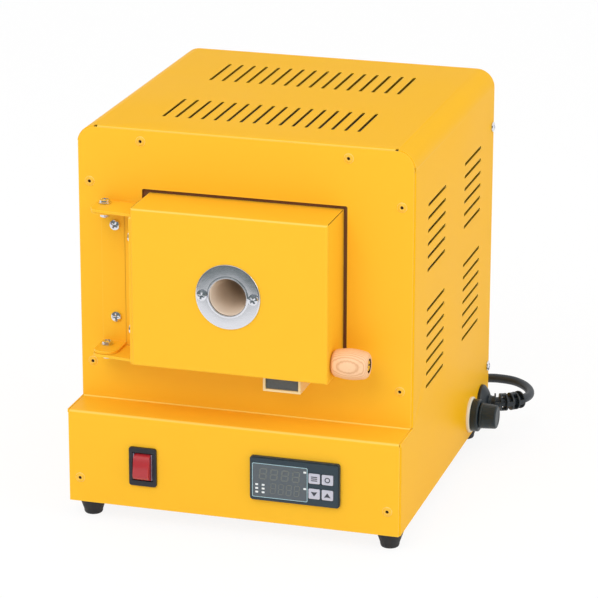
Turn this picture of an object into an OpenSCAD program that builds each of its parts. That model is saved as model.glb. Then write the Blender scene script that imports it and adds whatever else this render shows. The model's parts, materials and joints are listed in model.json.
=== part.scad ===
// Small bench muffle furnace with a side-hung door, a sight hole and a temperature controller.
// The case frame has X across the front, Y towards the back with 0 at the front panel, Z up from the bench.
// placed() moves it so that the origin lies at bench level under the middle of the whole furnace.

/* [Casing] */
// Width of the case
case_w = 270; // [262:1:310]
// Height of the case above its feet
case_h = 298; // [290:1:330]
// Depth of the case behind the front panel
case_d = 260; // [255:1:310]
// How far the base reaches in front of the front panel
base_reach = 34; // [26:1:48]
// Height of the base's ledge above the lower edge of the case
base_h = 76; // [72:1:82]
// Thickness of the painted sheets
sheet = 1.2; // [0.8:0.1:1.6]
// Outside radius of the cover's two long top bends
cover_r = 15; // [8:1:20]
// Outside radius of the sharp folds
fold_r = 2.6; // [2.2:0.1:3.4]
// Width of the flanges turned in behind the front sheets
flange_w = 16; // [13:1:20]
// How far the front sheets stay back from the outline of the cover
panel_inset = 0.9; // [0.4:0.1:1.4]
// Depth of the rear panel's flanges
rear_flange = 15; // [10:1:25]
// Height of the bottom plate's upturned edges
tray_h = 6; // [4:0.5:6]

/* [Vents] */
// Length of each vent slot
slot_l = 56; // [40:1:60]
// Width of each vent slot
slot_w = 2.8; // [1.8:0.1:3.4]
// Distance from slot to slot
slot_pitch = 10.5; // [8:0.1:11]
// Slots in each row of the roof
roof_slots = 16; // [8:1:16]
// Slots in the upper group of each side
side_slots_upper = 6; // [3:1:7]
// Slots in the lower group of each side
side_slots_lower = 7; // [3:1:8]
// Middle of the front row of slots, behind the front panel
slot_row_front = 70; // [60:1:80]
// Middle of the rear row of slots, behind the front panel
slot_row_rear = 188; // [170:1:200]

/* [Chamber] */
// Width of the heated chamber
chamber_w = 110; // [80:1:114]
// Height of the heated chamber
chamber_h = 80; // [60:1:84]
// Depth of the heated chamber behind the door plug
chamber_d = 138; // [110:1:142]
// Thickness of the side insulation behind the heater plates
side_board = 36; // [30:1:36]
// Clearance between the inner casing and the flange that hangs from the roof
roof_gap = 13; // [4:0.5:22]
// Thickness of the rear insulation
rear_board = 43; // [34:1:48]
// Thickness of the grooved heater plates
heater_plate_t = 9; // [8:0.5:11]
// Diameter of the coiled heating wire
element_d = 4.4; // [3:0.1:5]
// Runs of heating wire on each side
element_runs = 6; // [4:2:6]
// Thickness of the hearth plate
hearth_t = 8; // [5:1:12]
// Thickness of the sheet of the inner casing
shell_t = 1; // [0.8:0.1:1.4]
// How far the chamber's middle lies below the middle between ledge and roof
chamber_drop = 2.4; // [0:0.1:6]

/* [Door] */
// Width of the door
door_w = 156; // [146:1:158]
// Height of the door
door_h = 126.2; // [118:0.1:127]
// How far the door stands out in front of the front panel
door_proud = 43.6; // [38:0.1:48]
// How far the door pan enters the front panel's opening
door_entry = 2.4; // [1.6:0.1:3]
// Shift of the door to the right of the case's middle
door_shift = 1; // [0:0.1:1.4]
// Mean gap between the door and the sides of the front panel's opening
mouth_side_gap = 4.3; // [3:0.1:6]
// Gap between the door and the opening's upper and lower edges
mouth_top_gap = 3; // [2:0.1:4.5]
// Radius of the door pan's folded edges
pan_r = 2.2; // [1.8:0.1:4]
// Depth of the fibre plug that closes the chamber
plug_d = 20; // [14:1:22]
// Running gap round the fibre plug at the chamber's mouth
plug_gap = 2.4; // [2:0.1:4]
// Inside diameter of the sight tube
sight_d = 29; // [20:0.5:30]
// Wall of the sight tube
sight_wall = 3; // [2:0.1:3.4]
// Outside diameter of the sight ring
ring_d = 51.6; // [50:0.1:56]
// Thickness of the sight ring
ring_t = 1.5; // [1:0.1:2]
// Distance of the ring's two screws from the sight hole's axis
ring_screw_r = 20.4; // [20.2:0.1:21]

/* [Grip] */
// Length of the wooden grip
grip_l = 31; // [26:1:36]
// Largest diameter of the wooden grip
grip_d = 25.5; // [20:0.5:28]
// Radius of the grip's barrel curve
grip_crown_r = 44; // [38:1:60]
// Radius of the grip's rounded ends
grip_end_r = 4.5; // [2:0.1:5]
// How far the grip's axis lies in front of the front panel
grip_front = 27; // [20:1:30]
// Height of the grip's axis above the door's lower edge
grip_up = 13; // [13:1:20]

/* [Hinge and catch] */
// Distance of the hinge axis to the left of the door pan
hinge_out = 31.5; // [30:0.1:33]
// Distance of the hinge axis in front of the front panel
hinge_front = 11.5; // [10.6:0.1:13]
// Thickness of the two hinge brackets
bracket_t = 2; // [1.6:0.1:2.4]
// Height of the door's hinge bracket
door_bracket_h = 119.2; // [112:0.1:120]
// How far the ears reach past the hinge axis
ear_over = 7; // [6.6:0.1:7.5]
// Depth of the case bracket's ears
ear_d = 29.5; // [26:0.1:31]
// Width of the case bracket
case_bracket_w = 19.5; // [18.5:0.1:21]
// Running gap between the nested ears
ear_gap = 0.2; // [0.1:0.05:0.3]
// Width of the magnet
magnet_w = 25.8; // [20:0.1:30]
// Height of the magnet catch
catch_h = 15.2; // [12:0.1:18]
// Depth of the magnet catch
catch_d = 28; // [20:1:32]
// Wall of the magnet's holder
catch_t = 2; // [1.2:0.1:2.4]
// Gap between the magnet and the door
catch_gap = 0.4; // [0.3:0.1:0.8]

/* [Fasteners] */
// Shank diameter of the machine screws
screw_d = 4; // [3.5:0.1:4.2]
// Head diameter of the machine screws
head_d = 8.3; // [7.6:0.1:8.8]
// Head height of the machine screws
head_h = 2.6; // [2:0.1:3]
// Head diameter of the blind rivets
rivet_head_d = 7.8; // [7:0.1:9]
// Shank diameter of the blind rivets
rivet_d = 4; // [3.2:0.1:4.8]
// Radial clearance of a fastener in its hole
hole_gap = 0.05; // [0.02:0.01:0.1]

/* [Front controls] */
// Width of the temperature controller
control_w = 72; // [68:1:74]
// Height of the temperature controller
control_h = 36; // [34:1:40]
// Depth of the controller behind the base front
control_d = 62; // [50:1:70]
// How far the controller stands out
control_proud = 4; // [3:0.1:6]
// Distance of the controller's middle to the right of the case's middle
control_x = 51.7; // [48:0.1:56]
// Height of the controller's middle above the lower edge of the case
control_up = 37.2; // [34:0.1:40]
// Width of a key
key_w = 9.2; // [8:0.1:9.4]
// Height of a key
key_h = 8.4; // [7:0.1:9]
// Travel of a key
key_travel = 0.5; // [0.3:0.1:0.6]
// Width of the mains switch
switch_w = 22.4; // [21:0.1:25]
// Height of the mains switch
switch_h = 31.8; // [30:0.1:34]
// Distance of the switch's middle to the left of the case's middle
switch_x = 72.4; // [68:0.1:80]
// Height of the switch's middle above the lower edge of the case
switch_up = 35.1; // [32:0.1:38]
// Tilt of the rocker away from its middle
rocker_tilt = 9; // [6:1:10]

/* [Fuse holder and lead] */
// Distance of the fuse holder behind the front panel
fuse_y = 195; // [188:1:196]
// Height of the fuse holder above the lower edge of the case
fuse_up = 19; // [18:0.5:26]
// Diameter of the fuse holder's cap
fuse_cap_d = 26; // [22:0.5:27]
// Length of the fuse holder's cap
fuse_cap_l = 20; // [14:1:24]
// Diameter of the bushing's dome
bushing_d = 28; // [24:1:30]
// Radius of the bend that the bushing's tail lies in
lead_bend_r = 29; // [28:1:34]
// Diameter of the mains lead
lead_d = 7.6; // [6.4:0.1:8.6]
// Outside radius of the rings on the bushing's tail
tail_ring_r = 7.5; // [6.6:0.1:8]
// Thickness of each ring on the bushing's tail
tail_ring_t = 1.4; // [1:0.1:1.8]
// Rings on the bushing's tail
tail_rings = 6; // [3:1:7]

/* [Feet] */
// Height of the rubber feet
foot_h = 14; // [10:1:20]
// Diameter of a foot at its top
foot_d = 22.6; // [18:0.1:24]
// Diameter of a foot above its rounded lower edge
foot_low_d = 15.2; // [13:0.1:18]
// Diameter of a foot's sole
foot_sole_d = 12.6; // [11:0.1:15]
// Height of a foot's rounded lower edge
foot_round = 3.2; // [1:0.1:5]
// Distance of the feet from the middle of their row, to each side
foot_x = 121.7; // [110:0.1:122]
// Shift of the feet to the right of the case's middle
foot_shift = 1.8; // [0:0.1:2]
// Distance of the front feet behind the base's front
foot_front = 15; // [13:1:30]
// Distance of the rear feet in front of the rear edge
foot_rear = 32; // [16:1:50]

/* [Hidden] */
$fn = 48;
eps = 0.01;
big = 1000;

case_z = foot_h;
case_top = case_z + case_h;
ledge_z = case_z + base_h;
base_y = -base_reach;
panel_front = sheet;
seam = 0.3;
inner_w = case_w - 2 * sheet;

mid_z = (ledge_z + case_top) / 2 - chamber_drop;
shell_w = chamber_w + 2 * (heater_plate_t + side_board);
casing_gap = shell_t + seam;
shell_h = 2 * (case_top - flange_w - roof_gap - casing_gap - mid_z);
mouth_w = door_w + 2 * mouth_side_gap;
mouth_h = door_h + 2 * mouth_top_gap;
collar_y = door_entry + 0.6;
cavity_y = collar_y + plug_d;
cavity_back = cavity_y + chamber_d;
shell_back = cavity_back + rear_board;

door_front = -door_proud;
door_left = door_shift - door_w / 2;
door_right = door_shift + door_w / 2;
door_bottom = mid_z - door_h / 2;
door_top = mid_z + door_h / 2;
plug_back = door_entry + plug_d - 1;
hinge_x = door_left - hinge_out;
hinge_y = -hinge_front;
door_bracket_z = mid_z - 3.9 - door_bracket_h / 2;
door_bracket_top = door_bracket_z + door_bracket_h;
case_bracket_z = door_bracket_z + bracket_t + ear_gap;
case_bracket_top = door_bracket_top - bracket_t - ear_gap;
nut_h = 3.2;
nut_af = 7;

control_z = case_z + control_up;
switch_z = case_z + switch_up;
fuse_z = case_z + fuse_up;
side_x = case_w / 2;
bushing_y = fuse_y + 37;
bushing_z = case_z + 18;

rivet_places = [
    [-83, case_top - 9.5], [83, case_top - 9.5],
    [-side_x + 10, case_top - 44.5], [side_x - 10, case_top - 44.5],
    [-side_x + 10, ledge_z + 30], [side_x - 10, ledge_z + 30]
];
base_rivet_places = [[-side_x + 10, case_z + 20], [side_x - 10, case_z + 20]];
side_screw_heights = [case_z + 42, case_top - 47];
side_screw_y = case_d - 6;
foot_places = [
    for (sx = [-1, 1], y = [base_y + foot_front, case_d - foot_rear]) [foot_shift + sx * foot_x, y]
];
case_bracket_screws = [case_bracket_z + 22.3, case_bracket_top - 17.6];
case_bracket_screw_x = hinge_x + 4.6;
door_bracket_screws = [door_bracket_z + 27.6, door_bracket_top - 17.2];
door_bracket_screw_y = hinge_y - 24;

fuse_ring_t = 2.5;
fuse_flange_t = 6.4;
fuse_cap_x = side_x + fuse_ring_t + fuse_flange_t + 0.4;
fuse_reach = fuse_ring_t + fuse_flange_t + 0.4 + fuse_cap_l;

origin_x = (fuse_reach - head_h) / 2;
origin_y = (case_d + door_front - ring_t - head_h) / 2;

// Heating wires and their grooves.
groove_d = element_d + 1;
groove_lip = 0.6;
element_margin = 7;
element_pitch = (chamber_h - 2 * element_margin) / (element_runs - 1);
element_x = chamber_w / 2 + groove_d / 2 + groove_lip;
element_y0 = cavity_y + element_pitch / 2 + 8;
element_y1 = cavity_back - element_pitch / 2 - 8;
tail_z = element_pitch * (element_runs - 1) / 2;
probe_z = mid_z + chamber_h * 0.3;
support_y = [cavity_y + 7, shell_back - 14];
support_w = 20;
support_t = 1.6;

// Door, hinge and catch.
sight_hole_d = sight_d + 2 * sight_wall + 0.4;
washer_d = 9.8;
washer_h = 0.9;
nut_gap = 0.15;
upper_head_z = door_bracket_top + ear_gap + washer_h;
lower_head_z = case_bracket_z + bracket_t + washer_h;
upper_nut_z = case_bracket_top - bracket_t - 2 * nut_h - nut_gap;
lower_nut_z = door_bracket_z - ear_gap - 2 * nut_h - nut_gap;
ear_r = 8;
grip_well = 4.5;
grip_bolt_d = 9.6;
catch_x = 38.7;
catch_top = door_bottom - catch_gap;
catch_w = magnet_w + 2 * catch_t + 0.4;

// Switch, controller and fuse holder.
trunnion_r = 1.5;
rocker_w = switch_w - 6.4;
rocker_h = switch_h - 9.8;
rocker_gap = 0.3;
bezel_y = base_y - control_proud;
window_x0 = -control_w / 2 + 1.9;
window_x1 = control_w / 2 - 25.2;
window_z0 = -control_h / 2 + 2.6;
window_z1 = control_h / 2 - 5;
key_pitch_x = 10.6;
key_pitch_z = 12.5;
key_x = control_w / 2 - 14.6;
key_gap = 0.15;
key_well = 2.6;
key_places = [
    for (row = [0, 1], col = [0, 1])
        [key_x + (col - 0.5) * key_pitch_x, -1.4 + (0.5 - row) * key_pitch_z]
];
carrier_d = 12;
fuse_d = 6.4;
fuse_l = 30;
fuse_back = 24;
fuse_body_d = 18;

// Relay and terminal block on the bottom plate.
relay_at = [-40, 120, case_z + sheet];
relay_w = 58;
relay_d = 46;
relay_h = 24;
relay_hole_x = 24;
relay_post_y = 13;
relay_step_x = 18;
relay_step_h = 18;
block_at = [40, 170, case_z + sheet];
block_w = 64;
block_d = 22;
block_h = 18;
block_pitch = 10;
block_row = 6;
block_floor = 8;

// Bushing, lead, coil and plug. The tail lies in the lead's own bend.
neck_d = 18;
neck_l = 10;
neck_x = side_x + 6.5;
tail_core_r = 5.2;
tail_first = 12;
tail_angle = 56;
tail_step = (tail_angle - tail_first) / (tail_rings - 1);
lead_r = lead_d / 2;
lead_gap = 0.15;
strap = 0.8;
turn_r = 46;
coil_x = 40;
coil_y = case_d + 66;
plug_at = [-82, 280, 9];
bend_points = [
    for (a = [4:10:54]) [neck_x + lead_bend_r * sin(a), bushing_y + lead_bend_r * (1 - cos(a)), bushing_z]
];
// Route of the lead in the case frame, as points chosen by hand: from the bushing's tail to the coil.
route = [
    [167.3, 247.8, 31.6], [169.1, 252, 31.2], [170.5, 261, 30.6], [169.1, 270, 30.6], [165, 278, 31],
    [158.5, 284.5, 31.5], [150.5, 288.6, 32], [141.5, 290, 32.2], [132, 290.2, 32], [122, 289.6, 30.8],
    [112, 288, 28.2], [102, 285.6, 24.4], [92, 282.8, 20], [82, 279.8, 15.6], [72, 277, 11.4],
    [62, 274.8, 7.8], [52, 273.2, 5.6]
];
// From the coil's upper turn down to the plug.
far_route = [
    [28, 272.4, 12.4], [16, 272.5, 12.2], [4, 272.8, 11.6], [-9, 273.6, 10.6], [-22, 275.2, 9.6],
    [-34, 277.4, 9], [-45, 279.2, 9], [-54, 280, 9], [-61.8, 280, 9]
];

yellow = [0.99, 0.73, 0.13];
cream = [0.93, 0.86, 0.72];
zinc = [0.76, 0.78, 0.8];
fibre = [0.93, 0.9, 0.84];
black = [0.12, 0.13, 0.14];

module placed() translate([-origin_x, -origin_y, 0]) children();

// A flat outline drawn in X and Z, carried from y0 to y1.
module along_y(y0, y1) translate([0, y1, 0]) rotate([90, 0, 0]) linear_extrude(y1 - y0) children();

// A flat outline drawn in Y and Z, carried from x0 to x1.
module along_x(x0, x1) translate([x0, 0, 0]) rotate([90, 0, 90]) linear_extrude(x1 - x0) children();

module box(x, y, z) translate([x[0], y[0], z[0]]) cube([x[1] - x[0], y[1] - y[0], z[1] - z[0]]);

module facing_front(x, y, z) translate([x, y, z]) rotate([90, 0, 0]) children();

module facing_right(x, y, z) translate([x, y, z]) rotate([0, 90, 0]) children();

module rounded(w, h, r) {
    square([w - 2 * r, h], center = true);
    square([w, h - 2 * r], center = true);
    for (sx = [-1, 1], sz = [-1, 1]) translate([sx * (w / 2 - r), sz * (h / 2 - r)]) circle(r);
}

module slot(l, w) {
    square([l - w, w], center = true);
    for (s = [-1, 1]) translate([s * (l - w) / 2, 0]) circle(w / 2);
}

// Pan head with a cross recess, its seat at z = 0 and its shank below.
module pan_screw(shank) difference() {
    union() {
        intersection() {
            cylinder(d = head_d, h = head_h);
            translate([0, 0, head_h - head_d]) sphere(head_d);
        }
        translate([0, 0, -shank]) cylinder(d = screw_d, h = shank + eps);
    }
    for (a = [45, 135]) rotate(a) translate([-head_d * 0.27, -0.45, head_h * 0.5])
        cube([head_d * 0.54, 0.9, head_h]);
}

module screw_hole(l) cylinder(r = screw_d / 2 + hole_gap, h = l, center = true);

module nut() difference() {
    cylinder(d = nut_af / cos(30), h = nut_h, $fn = 6);
    cylinder(r = screw_d / 2 + hole_gap, h = 3 * nut_h, center = true, $fn = 32);
}

// Blind rivet: shallow dome with the mandrel's hole, its seat at z = 0 and its shank below.
module blind_rivet(grip) difference() {
    union() {
        rivet_r = (rivet_head_d * rivet_head_d / 4 + 1.21) / 2.2;
        intersection() {
            cylinder(d = rivet_head_d, h = 1.1);
            translate([0, 0, 1.1 - rivet_r]) sphere(rivet_r);
        }
        translate([0, 0, -grip]) cylinder(d = rivet_d, h = grip + 0.2);
        translate([0, 0, -grip - 2.4]) cylinder(d = rivet_d + 1.2, h = 2.4);
    }
    translate([0, 0, -grip]) cylinder(d = 2.1, h = big);
}

// Outline of the case seen from the front, shrunk by inset and drawn down to z0.
module arch(inset, z0) {
    r = cover_r - inset;
    w = case_w - 2 * inset;
    top = case_top - inset;
    translate([-w / 2, z0]) square([w, top - r - z0]);
    translate([-w / 2 + r, z0]) square([w - 2 * r, top - z0]);
    for (s = [-1, 1]) translate([s * (w / 2 - r), top - r]) circle(r);
}

module arch_sheet() difference() {
    arch(0, case_z);
    arch(sheet, case_z - 1);
}

// Section of a turned-in flange: the wall ends at depth fold_r, the flange hangs at depth 0.
module fold_section() {
    difference() {
        translate([0, -fold_r]) square(fold_r);
        translate([fold_r, -fold_r]) circle(fold_r - sheet);
        difference() {
            square(3 * fold_r, center = true);
            translate([fold_r, -fold_r]) circle(fold_r);
            translate([fold_r, -2 * fold_r]) square(4 * fold_r);
            translate([-2 * fold_r, -5 * fold_r]) square(4 * fold_r);
        }
        translate([fold_r, -2 * fold_r]) square([fold_r, fold_r]);
    }
    translate([0, -flange_w]) square([sheet, flange_w - fold_r]);
}

module side_flange(y0, z0, z1) {
    for (s = [0, 1]) mirror([s, 0, 0]) translate([side_x, y0, z0]) linear_extrude(z1 - z0) mirror([1, -1])
        fold_section();
}

module vent_row(n) for (i = [0:n - 1]) translate([(i - (n - 1) / 2) * slot_pitch, 0]) rotate(90)
    slot(slot_l, slot_w);

module vent_column(n, top) for (i = [0:n - 1]) translate([0, top - i * slot_pitch]) slot(slot_l, slot_w);

module outer_cover() color(yellow) placed() difference() {
    union() {
        fold_end = panel_front + fold_r;
        along_y(fold_end, case_d) arch_sheet();
        // The two round corners run on to the front edge without a flange.
        along_y(panel_front, fold_end) intersection() {
            arch_sheet();
            for (s = [-1, 1]) translate([s * side_x, case_top]) square(2 * cover_r, center = true);
        }
        along_x(cover_r - side_x, side_x - cover_r) translate([panel_front, case_top]) fold_section();
        side_flange(panel_front, ledge_z + seam, case_top - cover_r);
        // The sides run forward under the ledge, past the front panel.
        flange_top = ledge_z - fold_r - seam;
        side_flange(base_y + sheet, case_z, flange_top);
        for (s = [0, 1]) mirror([s, 0, 0]) {
            box([side_x - sheet, side_x], [base_y + sheet + fold_r, fold_end + eps], [case_z, ledge_z]);
            box([side_x - sheet, side_x], [base_y + sheet, base_y + sheet + 2 * fold_r],
                [flange_top, ledge_z]);
        }
    }
    // Relief notches at the ends of the folds.
    for (s = [-1, 1]) {
        box([s * (side_x - cover_r) - 1.3, s * (side_x - cover_r) + 1.3], [0, panel_front + 3],
            [case_top - 4, big]);
        box([s * side_x - 3, s * side_x + 3], [0, panel_front + 1.4],
            [case_top - cover_r - 2, case_top - cover_r + 2]);
    }
    for (y = [slot_row_front, slot_row_rear])
        translate([0, y, case_top - 2 * sheet]) linear_extrude(4 * sheet) vent_row(roof_slots);
    along_x(-big, big) for (y = [slot_row_front, slot_row_rear]) translate([y, 0]) {
        vent_column(side_slots_upper, case_top - 54);
        vent_column(side_slots_lower, case_z + 96 + (side_slots_lower - 1) * slot_pitch);
    }
    for (z = side_screw_heights) facing_right(0, side_screw_y, z) screw_hole(big);
    for (p = rivet_places) facing_front(p[0], panel_front, p[1])
        cylinder(d = rivet_d + 0.2, h = 6, center = true);
    for (p = base_rivet_places)
        facing_front(p[0], base_y + sheet, p[1]) cylinder(d = rivet_d + 0.2, h = 6, center = true);
    for (z = case_bracket_screws) facing_front(case_bracket_screw_x, panel_front, z) screw_hole(6);
    facing_right(side_x, fuse_y, fuse_z) cylinder(d = fuse_body_d + 1, h = 8, center = true);
    facing_right(side_x, bushing_y, bushing_z) cylinder(d = neck_d - 3, h = 8, center = true);
}

module front_panel() color(yellow) placed() difference() {
    union() {
        along_y(0, sheet) arch(panel_inset, ledge_z + seam);
        // Foot flange that lies on the ledge behind the panel.
        box([-inner_w / 2 + flange_w + 2, inner_w / 2 - flange_w - 2], [sheet - eps, 16],
            [ledge_z + seam, ledge_z + seam + sheet]);
    }
    translate([0, 0, mid_z]) along_y(-1, sheet + 1) rounded(mouth_w, mouth_h, 1.5);
    for (p = rivet_places) facing_front(p[0], 0, p[1]) cylinder(d = rivet_d + 0.2, h = 6, center = true);
    for (z = case_bracket_screws) facing_front(case_bracket_screw_x, 0, z) screw_hole(6);
}

module base_front() color(yellow) placed() difference() {
    union() {
        ledge_w = inner_w - 2 * seam;
        plate_w = case_w - 2 * panel_inset;
        box([-plate_w / 2, plate_w / 2], [base_y, base_y + sheet], [case_z, ledge_z - fold_r]);
        along_x(-ledge_w / 2, ledge_w / 2) translate([base_y, ledge_z]) {
            difference() {
                translate([fold_r, -fold_r]) circle(fold_r);
                translate([fold_r, -fold_r]) circle(fold_r - sheet);
                translate([fold_r, -3 * fold_r]) square(4 * fold_r);
                translate([-fold_r, -3 * fold_r]) square([4 * fold_r, 2 * fold_r]);
            }
            translate([fold_r, -sheet]) square([base_reach - fold_r + 16, sheet]);
        }
    }
    facing_front(control_x, base_y, control_z) linear_extrude(6, center = true)
        square([control_w - 4, control_h - 3], center = true);
    facing_front(-switch_x, base_y, switch_z) linear_extrude(6, center = true)
        square([switch_w - 3, switch_h - 4], center = true);
    for (p = base_rivet_places)
        facing_front(p[0], base_y, p[1]) cylinder(d = rivet_d + 0.2, h = 6, center = true);
}

module rear_panel() color(yellow) placed() difference() {
    gap = sheet + seam;
    union() {
        along_y(case_d - sheet - 0.4, case_d - 0.4) arch(gap, case_z + sheet + seam);
        along_y(case_d - rear_flange, case_d - sheet) difference() {
            arch(gap, case_z + tray_h + seam);
            arch(gap + sheet, case_z);
            translate([-big / 2, case_top - cover_r - 8]) square(big);
        }
    }
    for (z = side_screw_heights) facing_right(0, side_screw_y, z) screw_hole(big);
}

module bottom_plate() color(yellow) placed() difference() {
    w = inner_w - 2 * seam;
    y0 = base_y + sheet + fold_r + seam;
    y1 = case_d - sheet - 0.4 - seam;
    along_y(y0, y1) translate([0, case_z]) difference() {
        union() {
            translate([-w / 2, fold_r]) square([w, tray_h - fold_r]);
            translate([-w / 2 + fold_r, 0]) square([w - 2 * fold_r, fold_r + eps]);
            for (s = [-1, 1]) translate([s * (w / 2 - fold_r), fold_r]) circle(fold_r);
        }
        translate([-w / 2 + sheet, fold_r]) square([w - 2 * sheet, tray_h]);
        translate([-w / 2 + fold_r, sheet]) square([w - 2 * fold_r, tray_h]);
        for (s = [-1, 1]) translate([s * (w / 2 - fold_r), fold_r]) circle(fold_r - sheet);
    }
    for (p = foot_places) translate([p[0], p[1], case_z]) screw_hole(6);
    for (y = [40:20:180]) translate([0, y, case_z - 1]) linear_extrude(4) slot(70, 3);
}

module pop_rivets() color(yellow) placed() {
    for (p = rivet_places) facing_front(p[0], 0, p[1]) blind_rivet(2 * sheet);
    for (p = base_rivet_places) facing_front(p[0], base_y, p[1]) blind_rivet(2 * sheet);
}

module case_screws() color(zinc) placed() {
    for (z = side_screw_heights, s = [0, 1]) mirror([s, 0, 0]) facing_right(side_x, side_screw_y, z)
        pan_screw(8);
    for (z = case_bracket_screws) facing_front(case_bracket_screw_x, -bracket_t, z) pan_screw(6);
    for (p = foot_places) translate([p[0], p[1], case_z - 5]) mirror([0, 0, 1]) pan_screw(10);
}

module rubber_feet() color(black) placed() for (p = foot_places) translate([p[0], p[1], 0]) difference() {
    union() {
        translate([0, 0, foot_round]) cylinder(d1 = foot_low_d, d2 = foot_d, h = foot_h - foot_round);
        rotate_extrude() {
            square([foot_sole_d / 2, foot_round + eps]);
            intersection() {
                square([foot_low_d / 2, foot_round + eps]);
                translate([foot_sole_d / 2, foot_round])
                    resize([foot_low_d - foot_sole_d, 2 * foot_round]) circle(1);
            }
        }
    }
    screw_hole(3 * foot_h);
    translate([0, 0, -1]) cylinder(d = head_d + 1, h = foot_h - 4);
}

module chamber_shell() color(zinc) placed() difference() {
    w = shell_w + 2 * casing_gap;
    h = shell_h + 2 * casing_gap;
    box([-w / 2, w / 2], [sheet + 0.05, shell_back + casing_gap], [mid_z - h / 2, mid_z + h / 2]);
    box([-w / 2 + shell_t, w / 2 - shell_t], [0, shell_back + seam],
        [mid_z - h / 2 + shell_t, mid_z + h / 2 - shell_t]);
    facing_front(0, shell_back, probe_z) cylinder(d = 10, h = 20, center = true);
    for (sx = [-1, 1], sz = [-1, 1])
        facing_front(sx * element_x, shell_back, mid_z + sz * tail_z)
            cylinder(d = element_d + 3, h = 20, center = true);
}

module chamber_supports() color(zinc) placed() for (s = [0, 1]) mirror([s, 0, 0]) {
    shell_bottom = mid_z - shell_h / 2 - casing_gap;
    x = shell_w / 2 - 8;
    z0 = case_z + sheet;
    box([x - support_w, x], support_y, [z0, z0 + support_t]);
    difference() {
        box([x - support_t, x], support_y, [z0, shell_bottom]);
        for (part = [0.25, 0.75]) facing_right(x, support_y[0] + part * (support_y[1] - support_y[0]),
            (z0 + shell_bottom) / 2)
            cylinder(d = (shell_bottom - z0) * 0.6, h = 10, center = true);
    }
    box([x - support_w, x], support_y, [shell_bottom - support_t, shell_bottom]);
}

module mouth_collar() color(fibre) placed() difference() {
    box([-shell_w / 2, shell_w / 2], [collar_y, cavity_y], [mid_z - shell_h / 2, mid_z + shell_h / 2]);
    box([-chamber_w / 2, chamber_w / 2], [-1, cavity_y + 1],
        [mid_z - chamber_h / 2, mid_z + chamber_h / 2]);
}

module insulation_slab(z0, z1) color(fibre) placed()
    box([-shell_w / 2, shell_w / 2], [cavity_y, shell_back], [z0, z1]);

module insulation_roof() insulation_slab(mid_z + chamber_h / 2, mid_z + shell_h / 2);

module insulation_floor() insulation_slab(mid_z - shell_h / 2, mid_z - chamber_h / 2);

module side_insulation() color(fibre) placed()
    box([chamber_w / 2 + heater_plate_t, shell_w / 2], [cavity_y, cavity_back],
        [mid_z - chamber_h / 2, mid_z + chamber_h / 2]);

module insulation_left() mirror_case() side_insulation();

module insulation_right() side_insulation();

// Mirrors a placed module across the case's own middle plane.
module mirror_case() translate([-2 * origin_x, 0, 0]) mirror([1, 0, 0]) children();

module insulation_rear() color(fibre) placed() difference() {
    box([-shell_w / 2, shell_w / 2], [cavity_back, shell_back],
        [mid_z - chamber_h / 2, mid_z + chamber_h / 2]);
    facing_front(0, cavity_back, probe_z) cylinder(d = 7, h = 3 * rear_board, center = true);
    for (sx = [-1, 1], sz = [-1, 1])
        facing_front(sx * element_x, cavity_back, mid_z + sz * tail_z)
            cylinder(d = groove_d, h = 3 * rear_board, center = true);
}

module heater_plate() color(cream) placed() difference() {
    box([chamber_w / 2, chamber_w / 2 + heater_plate_t], [cavity_y, cavity_back],
        [mid_z - chamber_h / 2, mid_z + chamber_h / 2]);
    for (i = [0:element_runs - 1]) {
        z = mid_z + (i - (element_runs - 1) / 2) * element_pitch;
        along_y(cavity_y + 4, cavity_back + 1) translate([element_x, z]) {
            circle(d = groove_d);
            translate([-groove_d, -groove_d / 2 + groove_lip])
                square([groove_d, groove_d - 2 * groove_lip]);
        }
    }
    // Pockets for the bends that join one run to the next.
    for (y = [[cavity_y + 4, element_y0], [element_y1, cavity_back - 4]])
        box([0, element_x + groove_d / 2], y, [mid_z - tail_z, mid_z + tail_z]);
}

module heater_plate_right() heater_plate();

module heater_plate_left() mirror_case() heater_plate();

// One wire laid to and fro in the grooves, its two ends leaving through the rear insulation.
module heating_element() color([0.45, 0.42, 0.4]) placed() translate([element_x, 0, mid_z]) {
    for (i = [0:element_runs - 1]) {
        z = (i - (element_runs - 1) / 2) * element_pitch;
        outer = i == 0 || i == element_runs - 1;
        y1 = outer ? shell_back + 12 : element_y1;
        facing_front(0, y1, z) cylinder(d = element_d, h = y1 - element_y0);
    }
    for (i = [0:element_runs - 2]) {
        z = (i + 1 - element_runs / 2) * element_pitch;
        front = i % 2 == 0;
        translate([0, front ? element_y0 : element_y1, z]) rotate([0, 90, 0]) rotate(front ? 180 : 0)
            rotate_extrude(angle = 180) translate([element_pitch / 2, 0]) circle(d = element_d);
    }
}

module heating_element_right() heating_element();

module heating_element_left() mirror_case() heating_element();

module hearth_plate() color(cream) placed()
    box([-chamber_w / 2 + 1.5, chamber_w / 2 - 1.5], [cavity_y + 2, cavity_back - 1],
        [mid_z - chamber_h / 2, mid_z - chamber_h / 2 + hearth_t]);

module thermocouple() color(cream) placed() translate([0, 0, probe_z]) {
    facing_front(0, shell_back + 24, 0) cylinder(d = 6, h = rear_board + 24 + 16);
    facing_front(0, shell_back + 32, 0) cylinder(d = 18, h = 16);
}

module pan_block(t) {
    w = door_w - 2 * t;
    h = door_h - 2 * t;
    r = max(pan_r - t, 0.3);
    front = door_front + t;
    intersection() {
        along_x(door_left, door_right) pan_side(front, mid_z, h, r);
        translate([0, 0, door_bottom - 1]) linear_extrude(door_h + 2)
            mirror([1, -1]) pan_side(front, door_shift, w, r);
    }
}

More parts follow.
